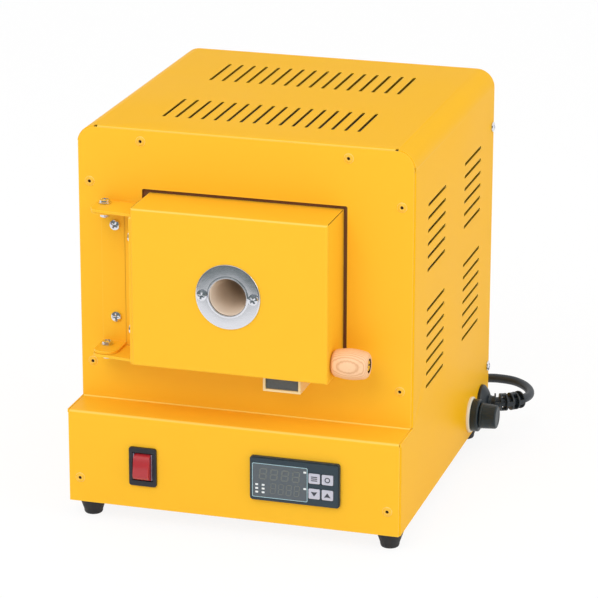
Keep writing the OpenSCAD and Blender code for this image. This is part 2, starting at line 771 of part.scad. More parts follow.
// Section of the pan with its front corners rounded: depth first, then across.
module pan_side(front, middle, size, r) {
    translate([front + r, middle - size / 2]) square([door_entry - front - r, size]);
    translate([front, middle - size / 2 + r]) square([r + eps, size - 2 * r]);
    for (s = [-1, 1]) translate([front + r, middle + s * (size / 2 - r)]) circle(r);
}

module door_pan() color(yellow) placed() difference() {
    pan_block(0);
    translate([0, eps, 0]) pan_block(sheet);
    // Open corners where the folded walls meet.
    for (sx = [door_left, door_right], sz = [door_bottom, door_top])
        translate([sx, door_front + pan_r, sz]) rotate([0, 45, 0]) translate([-3, 0, -0.25])
            cube([6, big, 0.5]);
    facing_front(door_shift, door_front, mid_z)
        cylinder(d = sight_d + 2 * sight_wall + 0.6, h = 8, center = true);
    for (s = [-1, 1]) facing_front(door_shift + s * ring_screw_r, door_front, mid_z) screw_hole(6);
    for (z = door_bracket_screws) facing_right(door_left, door_bracket_screw_y, z) screw_hole(6);
    facing_right(door_right, -grip_front, door_bottom + grip_up) screw_hole(6);
}

module sight_bore() facing_front(door_shift, 0, mid_z) cylinder(d = sight_hole_d, h = big, center = true);

module door_insulation() color(fibre) placed() difference() {
    t = sheet + 0.5;
    box([door_left + t, door_right - t], [door_front + t, door_entry - sheet - 0.1],
        [door_bottom + t, door_top - t]);
    sight_bore();
    // Room for the screws and nuts that pass through the pan.
    for (s = [-1, 1]) facing_front(door_shift + s * ring_screw_r, door_front, mid_z)
        cylinder(d = 6, h = 20, center = true);
    for (z = door_bracket_screws) facing_right(door_left, door_bracket_screw_y, z)
        cylinder(d = 6, h = 22, center = true);
    facing_right(door_right, -grip_front, door_bottom + grip_up) cylinder(d = 10, h = 24, center = true);
}

// Steel frame in the back of the pan that holds the fibre plug.
module door_back_frame() color(zinc) placed() difference() {
    t = sheet + 0.2;
    box([door_left + t, door_right - t], [door_entry - sheet, door_entry], [door_bottom + t, door_top - t]);
    box([door_shift - chamber_w / 2 + 8, door_shift + chamber_w / 2 - 8], [-big, big],
        [mid_z - chamber_h / 2 + 8, mid_z + chamber_h / 2 - 8]);
}

// The plug narrows towards the back so that it clears the mouth as the door swings.
module door_plug() color(fibre) placed() difference() {
    half_w = chamber_w / 2 - plug_gap;
    half_h = chamber_h / 2 - plug_gap;
    taper = plug_d / 4;
    intersection() {
        translate([0, 0, mid_z - half_h]) linear_extrude(2 * half_h) polygon([
            [-half_w, door_entry], [half_w, door_entry], [half_w - taper, plug_back], [-half_w + taper,
                plug_back]
        ]);
        along_x(-half_w, half_w) translate([0, mid_z]) polygon([
            [door_entry, -half_h], [plug_back, -half_h + taper], [plug_back, half_h - taper], [door_entry,
                half_h]
        ]);
    }
    sight_bore();
}

module sight_tube() color(cream) placed() facing_front(door_shift, plug_back, mid_z) difference() {
    l = plug_back - door_front;
    cylinder(d = sight_d + 2 * sight_wall, h = l);
    translate([0, 0, -1]) cylinder(d = sight_d, h = l + 2);
}

module sight_ring() color(zinc) placed() facing_front(door_shift, door_front, mid_z) difference() {
    cylinder(d = ring_d, h = ring_t);
    cylinder(d = sight_d + 1.4, h = 10, center = true);
    for (s = [-1, 1]) translate([s * ring_screw_r, 0, 0]) screw_hole(10);
}

module door_screws() color(zinc) placed() {
    for (s = [-1, 1]) facing_front(door_shift + s * ring_screw_r, door_front - ring_t, mid_z) pan_screw(8);
    for (z = door_bracket_screws) translate([door_left - bracket_t, door_bracket_screw_y, z])
        rotate([0, -90, 0]) pan_screw(8);
}

module grip_profile() {
    r = grip_d / 2;
    intersection() {
        translate([0, grip_end_r]) square([r, grip_l - 2 * grip_end_r]);
        translate([r - grip_crown_r, grip_l / 2]) circle(grip_crown_r, $fn = 96);
    }
    end_r = r - grip_crown_r + sqrt(pow(grip_crown_r, 2) - pow(grip_l / 2 - grip_end_r, 2));
    for (z = [grip_end_r, grip_l - grip_end_r]) translate([end_r - grip_end_r, z]) intersection() {
        circle(grip_end_r);
        translate([0, z > grip_l / 2 ? 0 : -grip_end_r]) square(grip_end_r);
    }
    square([end_r - grip_end_r, grip_l]);
}

module wooden_grip() color([0.93, 0.74, 0.55]) placed()
    facing_right(door_right, -grip_front, door_bottom + grip_up) difference() {
    rotate_extrude() grip_profile();
    cylinder(r = screw_d / 2 + hole_gap, h = 3 * grip_l, center = true);
    translate([0, 0, grip_l - grip_well]) cylinder(d = grip_bolt_d + 1.8, h = 10);
}

module grip_bolt() color(zinc) placed() facing_right(door_right, -grip_front, door_bottom + grip_up) {
    translate([0, 0, grip_l - grip_well]) difference() {
        cylinder(d = grip_bolt_d, h = 3.2);
        translate([0, 0, 1.6]) linear_extrude(5) slot(12, 1.2);
    }
    translate([0, 0, -9]) cylinder(d = screw_d, h = grip_l + 4.6);
    translate([0, 0, -sheet - nut_h]) difference() {
        cylinder(d = nut_af / cos(30), h = nut_h, $fn = 6);
        cylinder(d = screw_d - 0.2, h = 20, center = true, $fn = 32);
    }
}

// Ear of the door's bracket: square at the pan, rounded beyond the pivot.
module door_ear() difference() {
    x0 = hinge_x - ear_over;
    x1 = door_left;
    back = hinge_y + ear_over;
    front = hinge_y - 19.5;
    union() {
        polygon([[x0, back - 3], [x0, front + ear_r], [x0 + ear_r, front], [x1, front - 4], [x1, back],
            [x0 + 3, back]]);
        translate([x0 + ear_r, front + ear_r]) circle(ear_r);
        translate([x0 + 3, back - 3]) circle(3);
    }
    translate([hinge_x, hinge_y]) circle(screw_d / 2 + hole_gap);
}

module door_hinge_bracket() color(yellow) placed() difference() {
    union() {
        for (z = [door_bracket_z, door_bracket_top - bracket_t]) translate([0, 0, z])
            linear_extrude(bracket_t) door_ear();
        along_x(door_left - bracket_t, door_left)
            translate([hinge_y - 11.5, (door_bracket_z + door_bracket_top) / 2])
                rounded(37, door_bracket_h, 2.5);
    }
    for (z = door_bracket_screws) facing_right(door_left, door_bracket_screw_y, z) screw_hole(8);
}

module case_ear() difference() {
    x0 = hinge_x - ear_over;
    union() {
        translate([x0, -ear_d + ear_r]) square([case_bracket_w, ear_d - ear_r]);
        translate([x0 + ear_r, -ear_d]) square([case_bracket_w - 2 * ear_r, ear_r + eps]);
        for (x = [ear_r, case_bracket_w - ear_r]) translate([x0 + x, -ear_d + ear_r]) circle(ear_r);
    }
    translate([hinge_x, hinge_y]) circle(screw_d / 2 + hole_gap);
}

module case_hinge_bracket() color(yellow) placed() difference() {
    x0 = hinge_x - ear_over;
    union() {
        for (z = [case_bracket_z, case_bracket_top - bracket_t]) translate([0, 0, z])
            linear_extrude(bracket_t) case_ear();
        box([x0, x0 + case_bracket_w], [-bracket_t, 0], [case_bracket_z, case_bracket_top]);
    }
    for (z = case_bracket_screws) facing_front(case_bracket_screw_x, 0, z) screw_hole(8);
}

// Each bolt has a washer held under its head.
module hinge_bolts() color(zinc) placed()
    for (z = [[upper_head_z, upper_nut_z], [lower_head_z, lower_nut_z]])
    translate([hinge_x, hinge_y, z[0]]) {
        pan_screw(z[0] - z[1] + 0.8);
        translate([0, 0, -washer_h]) cylinder(d = washer_d, h = washer_h + eps);
    }

module hinge_nuts() color(zinc) placed() for (z = [upper_nut_z, lower_nut_z], i = [0, 1])
    translate([hinge_x, hinge_y, z + i * (nut_h + nut_gap)]) rotate(i * 17) nut();

module catch_bracket() color([0.95, 0.85, 0.6]) placed() difference() {
    box([catch_x - catch_w / 2, catch_x + catch_w / 2], [-catch_d, 0], [catch_top - catch_h, catch_top]);
    box([catch_x - catch_w / 2 + catch_t, catch_x + catch_w / 2 - catch_t], [-big, -catch_t],
        [catch_top - catch_h + catch_t, big]);
}

module catch_magnet() color(black) placed()
    box([catch_x - magnet_w / 2, catch_x + magnet_w / 2], [-catch_d + 1, -catch_t],
        [catch_top - catch_h + catch_t, catch_top]);

module switch_housing() color(black) placed() translate([-switch_x, base_y, switch_z]) difference() {
    union() {
        along_y(-2, 0) rounded(switch_w, switch_h, 2);
        box([-switch_w / 2 + 1.7, switch_w / 2 - 1.7], [0, 20], [-switch_h / 2 + 2.2, switch_h / 2 - 2.2]);
        for (z = [-8, 0, 8]) box([-3.2, 3.2], [20 - eps, 28], [z - 0.4, z + 0.4]);
    }
    box([-rocker_w / 2 - rocker_gap, rocker_w / 2 + rocker_gap], [-10, 12],
        [-rocker_h / 2 - 2 * rocker_gap, rocker_h / 2 + 2 * rocker_gap]);
    facing_right(0, 0, 0) cylinder(r = trunnion_r + hole_gap, h = 19, center = true);
}

// The rocker pivots on two short trunnions, its face hollowed between two crests.
module switch_rocker() color([0.8, 0.1, 0.12]) placed() translate([-switch_x, base_y, switch_z])
    rotate([-rocker_tilt, 0, 0]) {
    facing_right(0, 0, 0) cylinder(r = trunnion_r, h = 18, center = true);
    along_x(-rocker_w / 2, rocker_w / 2) intersection() {
        difference() {
            translate([1, 0]) circle(d = rocker_h);
            translate([-25.5, 0]) circle(20);
        }
        translate([-10, -rocker_h / 2]) square([13, rocker_h]);
    }
}

module controller_case() color(black) placed() translate([control_x, 0, control_z]) difference() {
    union() {
        along_y(bezel_y + 1, base_y) rounded(control_w, control_h, 2.4);
        along_y(bezel_y, bezel_y + 1 + eps) rounded(control_w - 1.6, control_h - 1.6, 1.8);
        box([-control_w / 2 + 2.3, control_w / 2 - 2.3], [base_y - eps, base_y + control_d],
            [-control_h / 2 + 1.8, control_h / 2 - 1.8]);
    }
    // Recess for the display window and a well for each key.
    box([window_x0 - 0.1, window_x1 + 0.1], [-big, bezel_y + 1.2], [window_z0 - 0.1, window_z1 + 0.1]);
    for (k = key_places) translate([k[0], 0, k[1]])
        box([-key_w / 2 - key_gap, key_w / 2 + key_gap], [-big, bezel_y + key_well],
            [-key_h / 2 - key_gap, key_h / 2 + key_gap]);
}

module controller_window() color([0.2, 0.23, 0.27]) placed() translate([control_x, 0, control_z])
    box([window_x0, window_x1], [bezel_y + 0.3, bezel_y + 1.2], [window_z0, window_z1]);

module key(i) color([0.78, 0.82, 0.84]) placed()
    translate([control_x + key_places[i][0], 0, control_z + key_places[i][1]])
        along_y(bezel_y - 0.3, bezel_y + key_well - key_travel - 0.2) rounded(key_w, key_h, 1);

module key_upper_left() key(0);

module key_upper_right() key(1);

module key_down() key(2);

module key_up() key(3);

module controller_clamp() color(black) placed() translate([control_x, 0, control_z]) difference() {
    y0 = base_y + sheet + 0.1;
    box([-control_w / 2 - 3, control_w / 2 + 3], [y0, y0 + 12],
        [-control_h / 2 - 0.5, control_h / 2 + 0.5]);
    box([-control_w / 2 + 2.1, control_w / 2 - 2.1], [-big, big],
        [-control_h / 2 + 1.6, control_h / 2 - 1.6]);
}

module solid_state_relay() color([0.85, 0.86, 0.88]) placed() translate(relay_at) {
    difference() {
        box([-relay_w / 2, relay_w / 2], [-relay_d / 2, relay_d / 2], [0, relay_h]);
        for (sx = [-1, 1]) translate([sx * relay_hole_x, 0, 0]) cylinder(d = 4.6, h = big, center = true);
        for (sx = [0, 1]) mirror([sx, 0, 0])
            box([relay_step_x, relay_w], [-relay_d, relay_d], [relay_step_h, big]);
    }
    for (sx = [-1, 1], sy = [-1, 1])
        translate([sx * relay_hole_x, sy * relay_post_y, relay_step_h - eps]) cylinder(d = 7, h = 3);
}

module terminal_block() color(cream) placed() translate(block_at) {
    difference() {
        box([-block_w / 2, block_w / 2], [-block_d / 2, block_d / 2], [0, block_h]);
        for (i = [0:5], sy = [-1, 1]) translate([(i - 2.5) * block_pitch, sy * block_row, block_floor])
            cylinder(d = 6, h = big);
    }
}

module fuse_ring() color(cream) placed() facing_right(side_x, fuse_y, fuse_z) difference() {
    cylinder(d = 33, h = fuse_ring_t);
    cylinder(d = fuse_body_d + 0.6, h = 20, center = true);
}

module fuse_body() color(black) placed() facing_right(side_x, fuse_y, fuse_z) difference() {
    union() {
        translate([0, 0, fuse_ring_t]) cylinder(d = 29, h = fuse_flange_t - 1);
        translate([0, 0, fuse_ring_t + fuse_flange_t - 1 - eps]) cylinder(d1 = 29, d2 = 27, h = 1 + eps);
        translate([0, 0, -34]) cylinder(d = fuse_body_d, h = 34 + fuse_ring_t + 1);
        translate([0, 0, -sheet - 0.2 - 5]) cylinder(d = 22, h = 5, $fn = 6);
    }
    translate([0, 0, -32]) cylinder(d = carrier_d + 0.8, h = big);
}

// The carrier holds the fuse and draws straight out of the body.
module fuse_carrier() color(black) placed() facing_right(side_x, fuse_y, fuse_z) difference() {
    translate([0, 0, -fuse_back]) cylinder(d = carrier_d, h = fuse_back + fuse_reach - 8.6);
    translate([0, 0, -fuse_back - eps]) cylinder(d = fuse_d + 0.3, h = fuse_l + 0.4);
    translate([-2.2, -big / 2, -20]) cube([4.4, big, 20]);
}

module fuse_link() color([0.85, 0.9, 0.9]) placed() facing_right(side_x, fuse_y, fuse_z)
    translate([0, 0, -fuse_back])
    difference() {
        cylinder(d = fuse_d, h = fuse_l);
        translate([0, 0, 6]) difference() {
            cylinder(d = 8, h = 18);
            cylinder(d = 5.6, h = 40, center = true);
        }
    }

module fuse_cap() color(black) placed() facing_right(fuse_cap_x, fuse_y, fuse_z) difference() {
    union() {
        cylinder(d = fuse_cap_d - 2.4, h = 4);
        translate([0, 0, 3]) cylinder(d = fuse_cap_d, h = fuse_cap_l - 4.5);
        translate([0, 0, fuse_cap_l - 1.5 - eps])
            cylinder(d1 = fuse_cap_d, d2 = fuse_cap_d - 3, h = 1.5 + eps);
    }
    translate([0, 0, -1]) cylinder(d = carrier_d + 0.1, h = fuse_cap_l - 7.4);
    for (i = [0:11]) rotate(i * 30) translate([fuse_cap_d / 2 + 0.6, 0, 4]) cylinder(d = 2.2, h = big);
}

module on_bend(a) translate([neck_x + lead_bend_r * sin(a), bushing_y + lead_bend_r * (1 - cos(a)),
    bushing_z])
    rotate([0, 0, a]) rotate([0, 90, 0]) children();

// Part of a tube of radius r that follows the lead's bend from angle a to angle b.
module bend_tube(a, b, r) translate([neck_x, bushing_y + lead_bend_r, bushing_z]) rotate(a - 90)
    rotate_extrude(angle = b - a) translate([lead_bend_r, 0]) circle(r);

// The tail's rings are joined by two bars each, by turns at the sides and above and below the lead.
module cord_bushing() color(black) placed() difference() {
    union() {
        facing_right(side_x, bushing_y, bushing_z) {
            intersection() {
                cylinder(d = bushing_d, h = 9);
                translate([0, 0, -9]) sphere(18);
            }
            cylinder(d1 = neck_d, d2 = 2 * tail_core_r, h = neck_l);
            translate([0, 0, -8]) cylinder(d = neck_d - 3.6, h = 9);
        }
        bend_tube(0, tail_first, tail_core_r);
        for (i = [0:tail_rings - 1]) on_bend(tail_first + i * tail_step)
            cylinder(r = tail_ring_r, h = tail_ring_t, center = true);
        bar = 2 * lead_bend_r * sin(tail_step / 2);
        for (i = [0:tail_rings - 2]) on_bend(tail_first + (i + 0.5) * tail_step) rotate(i % 2 == 0 ? 90 : 0)
            for (s = [-1, 1]) translate([s * (tail_ring_r - 1.2), 0, 0]) cube([2, 4, bar], center = true);
    }
    bend_tube(0, tail_angle + 8, lead_r + lead_gap);
}

function unit(v) = v / norm(v);
function heading(p, i) = unit(p[min(i + 1, len(p) - 1)] - p[max(i - 1, 0)]);
function ring(c, t, r, n) = let (side = unit(cross(t, [0, 0, 1])), up = cross(side, t))
    [for (k = [0:n - 1]) c + r * (cos(360 * k / n) * side + sin(360 * k / n) * up)];

// A tube with n sides round the points p.
module tube(p, r, n) {
    last = len(p) - 1;
    polyhedron(
        points = [for (i = [0:last]) each ring(p[i], heading(p, i), r, n)],
        faces = concat(
            [[for (k = [0:n - 1]) k]],
            [for (i = [0:last - 1], k = [0:n - 1])
                [i * n + k, (i + 1) * n + k, (i + 1) * n + (k + 1) % n, i * n + (k + 1) % n]],
            [[for (k = [n - 1:-1:0]) last * n + k]]
        )
    );
}

module power_cord() color(black) placed() {
    tube(concat(bend_points, route), lead_r, 10);
    tube(far_route, lead_r, 10);
}

module cord_coil() color(black) placed() translate([coil_x, coil_y, strap]) rotate_extrude()
    translate([turn_r - 1.5 * lead_d, 0]) square([3 * lead_d, 2 * lead_d]);

module cord_tie() color(black) placed() translate([coil_x, coil_y + turn_r, 0]) along_x(-4, 4)
    difference() {
    w = 3 * lead_d + 0.8;
    h = 2 * lead_d + 0.1;
    translate([-w / 2 - strap, 0]) square([w + 2 * strap, h + 2 * strap]);
    translate([-w / 2, strap - 0.05]) square([w, h + 0.05]);
}

module mains_plug() color(black) placed() translate(plug_at) {
    along_x(-16, 16) rounded(30, 2 * plug_at[2], 5);
    along_x(16 - eps, 20) rounded(20, 14, 5);
}

module plug_blades() color(zinc) placed() translate(plug_at)
    for (s = [-1, 1]) translate([-34, s * 6.35, 0]) box([0, 18], [-0.75, 0.75], [-3.15, 3.15]);

outer_cover();
front_panel();
base_front();
rear_panel();
bottom_plate();
pop_rivets();
case_screws();
rubber_feet();
chamber_shell();
chamber_supports();
mouth_collar();
insulation_roof();
insulation_floor();
insulation_left();
insulation_right();
insulation_rear();
heater_plate_left();
heater_plate_right();
heating_element_left();
heating_element_right();
hearth_plate();
thermocouple();
door_pan();
door_insulation();
door_back_frame();
door_plug();
sight_tube();
sight_ring();
door_screws();
wooden_grip();
grip_bolt();
door_hinge_bracket();
case_hinge_bracket();
hinge_bolts();
hinge_nuts();
catch_bracket();
catch_magnet();
switch_housing();
switch_rocker();
controller_case();
controller_window();
controller_clamp();
key_upper_left();
key_upper_right();
key_down();
key_up();
solid_state_relay();
terminal_block();
fuse_ring();
fuse_body();
fuse_carrier();
fuse_cap();
fuse_link();
cord_bushing();
power_cord();
cord_coil();
cord_tie();
mains_plug();
plug_blades();
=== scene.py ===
"""Bench muffle furnace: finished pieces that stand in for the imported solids, and a few finer ones beside them.

Each sub-assembly is a class. Lengths in it are millimetres in the case frame: X across the front, Y towards the
back with 0 at the front panel, Z up from the bench. CASE_SHIFT and MM carry them into the row frame, in metres.
"""

from __future__ import annotations

import json
import logging
import math
from dataclasses import dataclass, field, replace
from enum import Enum
from functools import cache
from typing import Any, Callable, Iterable, Sequence

import bmesh
import bpy
import numpy as np
from bpy.types import ID, Material, Mesh, Node, NodeOutputs, NodeSocket, NodeTree, Object, World
from mathutils import Matrix

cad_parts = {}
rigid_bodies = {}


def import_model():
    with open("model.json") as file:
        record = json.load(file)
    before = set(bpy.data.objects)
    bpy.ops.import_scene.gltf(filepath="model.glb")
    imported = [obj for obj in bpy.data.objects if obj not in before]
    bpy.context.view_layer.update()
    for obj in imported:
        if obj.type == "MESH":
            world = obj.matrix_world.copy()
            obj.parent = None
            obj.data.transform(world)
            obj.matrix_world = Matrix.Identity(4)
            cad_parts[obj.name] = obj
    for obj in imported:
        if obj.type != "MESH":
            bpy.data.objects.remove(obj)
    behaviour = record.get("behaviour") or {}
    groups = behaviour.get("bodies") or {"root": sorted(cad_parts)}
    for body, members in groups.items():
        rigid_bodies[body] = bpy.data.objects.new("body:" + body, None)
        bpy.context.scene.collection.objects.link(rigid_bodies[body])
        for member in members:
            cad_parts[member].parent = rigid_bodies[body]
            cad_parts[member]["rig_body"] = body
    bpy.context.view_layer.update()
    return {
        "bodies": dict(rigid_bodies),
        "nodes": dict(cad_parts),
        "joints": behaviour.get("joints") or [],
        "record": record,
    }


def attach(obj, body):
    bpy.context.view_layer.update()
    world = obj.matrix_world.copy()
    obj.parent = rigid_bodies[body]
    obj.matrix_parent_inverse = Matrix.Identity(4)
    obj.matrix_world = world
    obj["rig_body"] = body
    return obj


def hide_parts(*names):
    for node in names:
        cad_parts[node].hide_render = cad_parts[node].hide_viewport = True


LOG = logging.getLogger("furnace")
MM = 0.001
CASE_SHIFT = np.array([13.35, 106.15, 0.0])
PICTURE_SIDE = 598
UPRIGHT = (0.0, 0.0, 1.0)
Array = np.ndarray
Rgb = tuple[int, int, int]


class Facing(Enum):
    """The way in which a local +Z axis points once a shape is placed."""

    UP = "up"
    DOWN = "down"
    FRONT = "front"
    BACK = "back"
    RIGHT = "right"
    LEFT = "left"


TURNS: dict[Facing, Array] = {
    Facing.UP: np.eye(3),
    Facing.DOWN: np.array([[1.0, 0, 0], [0, -1, 0], [0, 0, -1]]),
    Facing.FRONT: np.array([[1.0, 0, 0], [0, 0, -1], [0, 1, 0]]),
    Facing.BACK: np.array([[-1.0, 0, 0], [0, 0, 1], [0, 1, 0]]),
    Facing.RIGHT: np.array([[0.0, 0, 1], [1, 0, 0], [0, 1, 0]]),
    Facing.LEFT: np.array([[0.0, 0, -1], [-1, 0, 0], [0, 1, 0]]),
}


# ---------------------------------------------------------------------------------------------------------------
# Shapes


@dataclass
class Shell:
    """Points and faces of a shape while it is worked out, in millimetres."""

    points: Array
    faces: list[Array]

    def turned(self, matrix: Array) -> "Shell":
        """Return the shape with its points multiplied by a 3 x 3 matrix."""
        return Shell(self.points @ matrix.T, self.faces)

    def moved(self, x: float = 0.0, y: float = 0.0, z: float = 0.0) -> "Shell":
        """Return the shape moved by x, y and z."""
        return Shell(self.points + np.array([x, y, z]), self.faces)

    def spun(self, degrees: float) -> "Shell":
        """Return the shape turned about its own Z axis."""
        c, s = math.cos(math.radians(degrees)), math.sin(math.radians(degrees))
        return self.turned(np.array([[c, -s, 0], [s, c, 0], [0, 0, 1.0]]))

    def placed(self, facing: Facing, at: Sequence[float]) -> "Shell":
        """Return the shape with its Z axis along facing and its origin at a point of the case frame."""
        return self.turned(TURNS[facing]).moved(*at)


def joined(shells: Iterable[Shell]) -> Shell:
    """Put several shapes into one."""
    points: list[Array] = []
    faces: list[Array] = []
    start = 0
    for shell in shells:
        points.append(shell.points)
        faces.extend(face + start for face in shell.faces)
        start += len(shell.points)
    return Shell(np.vstack(points), faces)


def grid_shell(points: Array, wrap_u: bool = False, wrap_v: bool = False) -> Shell:
    """Join a grid of points with four-sided faces: cell (i, j) takes points i, i + 1 and j, j + 1.

    Args:
        points: array of shape (n_u, n_v, 3).
        wrap_u: whether the last row joins the first.
        wrap_v: whether the last column joins the first.

    Returns:
        The grid as a shape.
    """
    n_u, n_v = points.shape[:2]
    u = np.arange(n_u if wrap_u else n_u - 1)
    v = np.arange(n_v if wrap_v else n_v - 1)
    row, column = np.meshgrid(u, v, indexing="ij")
    row_next, column_next = (row + 1) % n_u, (column + 1) % n_v
    corners = [row * n_v + column, row_next * n_v + column, row_next * n_v + column_next, row * n_v + column_next]
    quads = np.stack(corners, axis=-1).reshape(-1, 4)
    return Shell(points.reshape(-1, 3), [quads])


def softened(corners: Sequence[tuple[float, float, float]], steps: int = 4, closed: bool = False) -> Array:
    """Round the corners of a line: each becomes a quadratic curve that starts and ends its third number away.

    Args:
        corners: (a, b, cut) for each corner, where cut is the length taken off each side of it.
        steps: pieces in each rounded corner.
        closed: whether the last corner joins the first.

    Returns:
        Points of the rounded line, shape (n, 2).
    """
    table = np.array(corners, dtype=float)
    out: list[Array] = []
    last = len(table) - 1
    for i, (a, b, cut) in enumerate(table):
        here = np.array([a, b])
        if cut <= 0 or (not closed and i in (0, last)):
            out.append(here[None, :])
            continue
        before = table[i - 1, :2] - here
        after = table[(i + 1) % len(table), :2] - here
        p0 = here + before / np.linalg.norm(before) * min(cut, np.linalg.norm(before) * 0.49)
        p2 = here + after / np.linalg.norm(after) * min(cut, np.linalg.norm(after) * 0.49)
        t = np.linspace(0.0, 1.0, steps + 1)[:, None]
        out.append((1 - t) ** 2 * p0 + 2 * t * (1 - t) * here + t**2 * p2)
    return np.vstack(out)


def revolved(profile: Array, segments: int = 64, closed: bool = False,
             radius: Callable[[Array, Array], Array] | None = None) -> Shell:
    """Turn a profile about Z: point (r, z) goes to (r cos a, r sin a, z) at every angle a.

    Args:
        profile: (n, 2) radii and heights.
        segments: steps round the axis.
        closed: whether the profile is a closed loop, as for a ring.
        radius: optional function of the radii and angles, both (n, segments), that gives the radii to use.

    Returns:
        The turned shape.
    """
    angle = np.linspace(0.0, 2 * np.pi, segments, endpoint=False)[None, :]
    r = np.repeat(profile[:, :1], segments, axis=1)
    if radius is not None:
        r = radius(r, np.repeat(angle, len(profile), axis=0))
    z = np.repeat(profile[:, 1:], segments, axis=1)
    points = np.stack([r * np.cos(angle), r * np.sin(angle), z], axis=-1)
    return grid_shell(points, wrap_u=closed, wrap_v=True)
def ring_of(corners: Sequence[tuple[float, float, float]], segments: int = 96) -> Shell:
    """Turn a closed loop of corners (r, z, cut) about Z, as for a washer."""
    return revolved(softened(corners, closed=True), segments, closed=True)


def shank_of(radius: float, top: float, tip: float) -> Shell:
    """Turn a shank about Z, from height top down to its softened tip."""
    return revolved(softened([(0, top, 0), (radius, top, 0), (radius, tip, 0.5), (0, tip, 0)]), 32)


def rounded_outline(width: float, height: float, radius: float, steps: int = 8) -> Array:
    """Walk round a rectangle with rounded corners: each corner is a quarter circle of the given radius.

    Args:
        width: size along the first axis.
        height: size along the second axis.
        radius: corner radius.
        steps: pieces in each quarter circle.

    Returns:
        Outline points, shape (4 * (steps + 1), 2), counter-clockwise.
    """
    radius = max(min(radius, width / 2 - 1e-4, height / 2 - 1e-4), 1e-4)
    quarter = np.linspace(0.0, np.pi / 2, steps + 1)
    corners = [(1, 1, 0.0), (-1, 1, np.pi / 2), (-1, -1, np.pi), (1, -1, 1.5 * np.pi)]
    rows = []
    for sx, sy, start in corners:
        centre = np.array([sx * (width / 2 - radius), sy * (height / 2 - radius)])
        rows.append(centre + radius * np.stack([np.cos(quarter + start), np.sin(quarter + start)], axis=-1))
    return np.vstack(rows)


def rounded_block(width: float, height: float, radius: float, levels: Array, closed: bool = False,
                  steps: int = 8) -> Shell:
    """Stack rounded outlines: level (inset, z) draws the outline shrunk by inset at height z.

    Args:
        width: size along X.
        height: size along Y.
        radius: corner radius at no inset.
        levels: (n, 2) insets and heights.
        closed: whether the levels form a loop, as for a frame; otherwise both ends are filled.
        steps: pieces in each rounded corner.

    Returns:
        The stacked shape.
    """
    rings = []
    for inset, z in levels:
        outline = rounded_outline(width - 2 * inset, height - 2 * inset, radius - inset * 0.85, steps)
        rings.append(np.column_stack([outline, np.full(len(outline), z)]))
    points = np.stack(rings)
    if not closed:
        first = np.repeat(points[:1].mean(axis=1, keepdims=True), points.shape[1], axis=1)
        final = np.repeat(points[-1:].mean(axis=1, keepdims=True), points.shape[1], axis=1)
        points = np.concatenate([first, points, final])
    return grid_shell(points, wrap_u=closed, wrap_v=True)


def flat_polygon(outline: Array, thickness: float) -> Shell:
    """Raise a convex outline in X and Y, counter-clockwise, into a closed slab from z = 0 to z = thickness."""
    n = len(outline)
    low = np.column_stack([outline, np.zeros(n)])
    high = np.column_stack([outline, np.full(n, thickness)])
    i = np.arange(n)
    sides = np.stack([i, (i + 1) % n, (i + 1) % n + n, i + n], axis=-1)
    return Shell(np.vstack([low, high]), [i[None, ::-1], i[None, :] + n, sides])


def headings(path: Array) -> Array:
    """Give the unit direction of a path at each of its points."""
    heading = np.gradient(path, axis=0)
    return heading / np.linalg.norm(heading, axis=1, keepdims=True)


def swept(path: Array, profile: Array) -> Shell:
    """Carry a closed profile along a path, turned as little as possible from point to point.

    The frame at each point is the one before it, turned by the least rotation that takes one heading to the next.

    Args:
        path: (n, 3) points, which don't start straight up.
        profile: (m, 2) closed profile across the path.

    Returns:
        The swept shape with its two ends filled.
    """
    heading = headings(path)
    side = np.cross(heading[0], UPRIGHT)
    side /= np.linalg.norm(side)
    sides = []
    for t in heading:
        side = side - t * float(side @ t)
        side = side / np.linalg.norm(side)
        sides.append(side)
    across = np.array(sides)[:, None, :]
    up = np.cross(across, heading[:, None, :])
    points = path[:, None, :] + (profile[None, :, :1] * across + profile[None, :, 1:] * up)
    first = np.repeat(path[:1, None, :], len(profile), axis=1)
    final = np.repeat(path[-1:, None, :], len(profile), axis=1)
    return grid_shell(np.concatenate([first, points, final]), wrap_v=True)


def rectangle(a0: float, a1: float, b0: float, b1: float) -> Array:
    """Give the corners of a rectangle, counter-clockwise, shape (4, 2)."""
    return np.array([(a0, b0), (a1, b0), (a1, b1), (a0, b1)])


def circle(radius: float, sides: int) -> Array:
    """Give the points of a circle, shape (sides, 2)."""
    angle = np.linspace(0.0, 2 * np.pi, sides, endpoint=False)
    return radius * np.column_stack([np.cos(angle), np.sin(angle)])


def evened(points: Array, spacing: float, more: int = 0) -> Array:
    """Space as many points evenly along a line of corners as the spacing asks for, and more."""
    run = np.concatenate([[0.0], np.cumsum(np.linalg.norm(np.diff(points, axis=0), axis=1))])
    even = np.linspace(0.0, run[-1], int(run[-1] / spacing) + more)
    return np.column_stack([np.interp(even, run, points[:, k]) for k in range(3)])


def smooth_path(points: Array, spacing: float) -> Array:
    """Draw a smooth curve through points: between two of them it is a cubic whose slopes join their neighbours.

    Args:
        points: (n, 3) points to pass through.
        spacing: distance between the curve's points.

    Returns:
        Points of the curve, evenly spaced along it.
    """
    padded = np.vstack([2 * points[0] - points[1], points, 2 * points[-1] - points[-2]])
    t = np.linspace(0.0, 1.0, 12, endpoint=False)[:, None]
    rows = [0.5 * (2 * p1 + (p2 - p0) * t + (2 * p0 - 5 * p1 + 4 * p2 - p3) * t**2 + (3 * p1 - p0 - 3 * p2 + p3) * t**3)
            for p0, p1, p2, p3 in zip(padded[:-3], padded[1:-2], padded[2:-1], padded[3:])]
    return evened(np.vstack([*rows, points[-1:]]), spacing, 1)


# ---------------------------------------------------------------------------------------------------------------
# Finishes


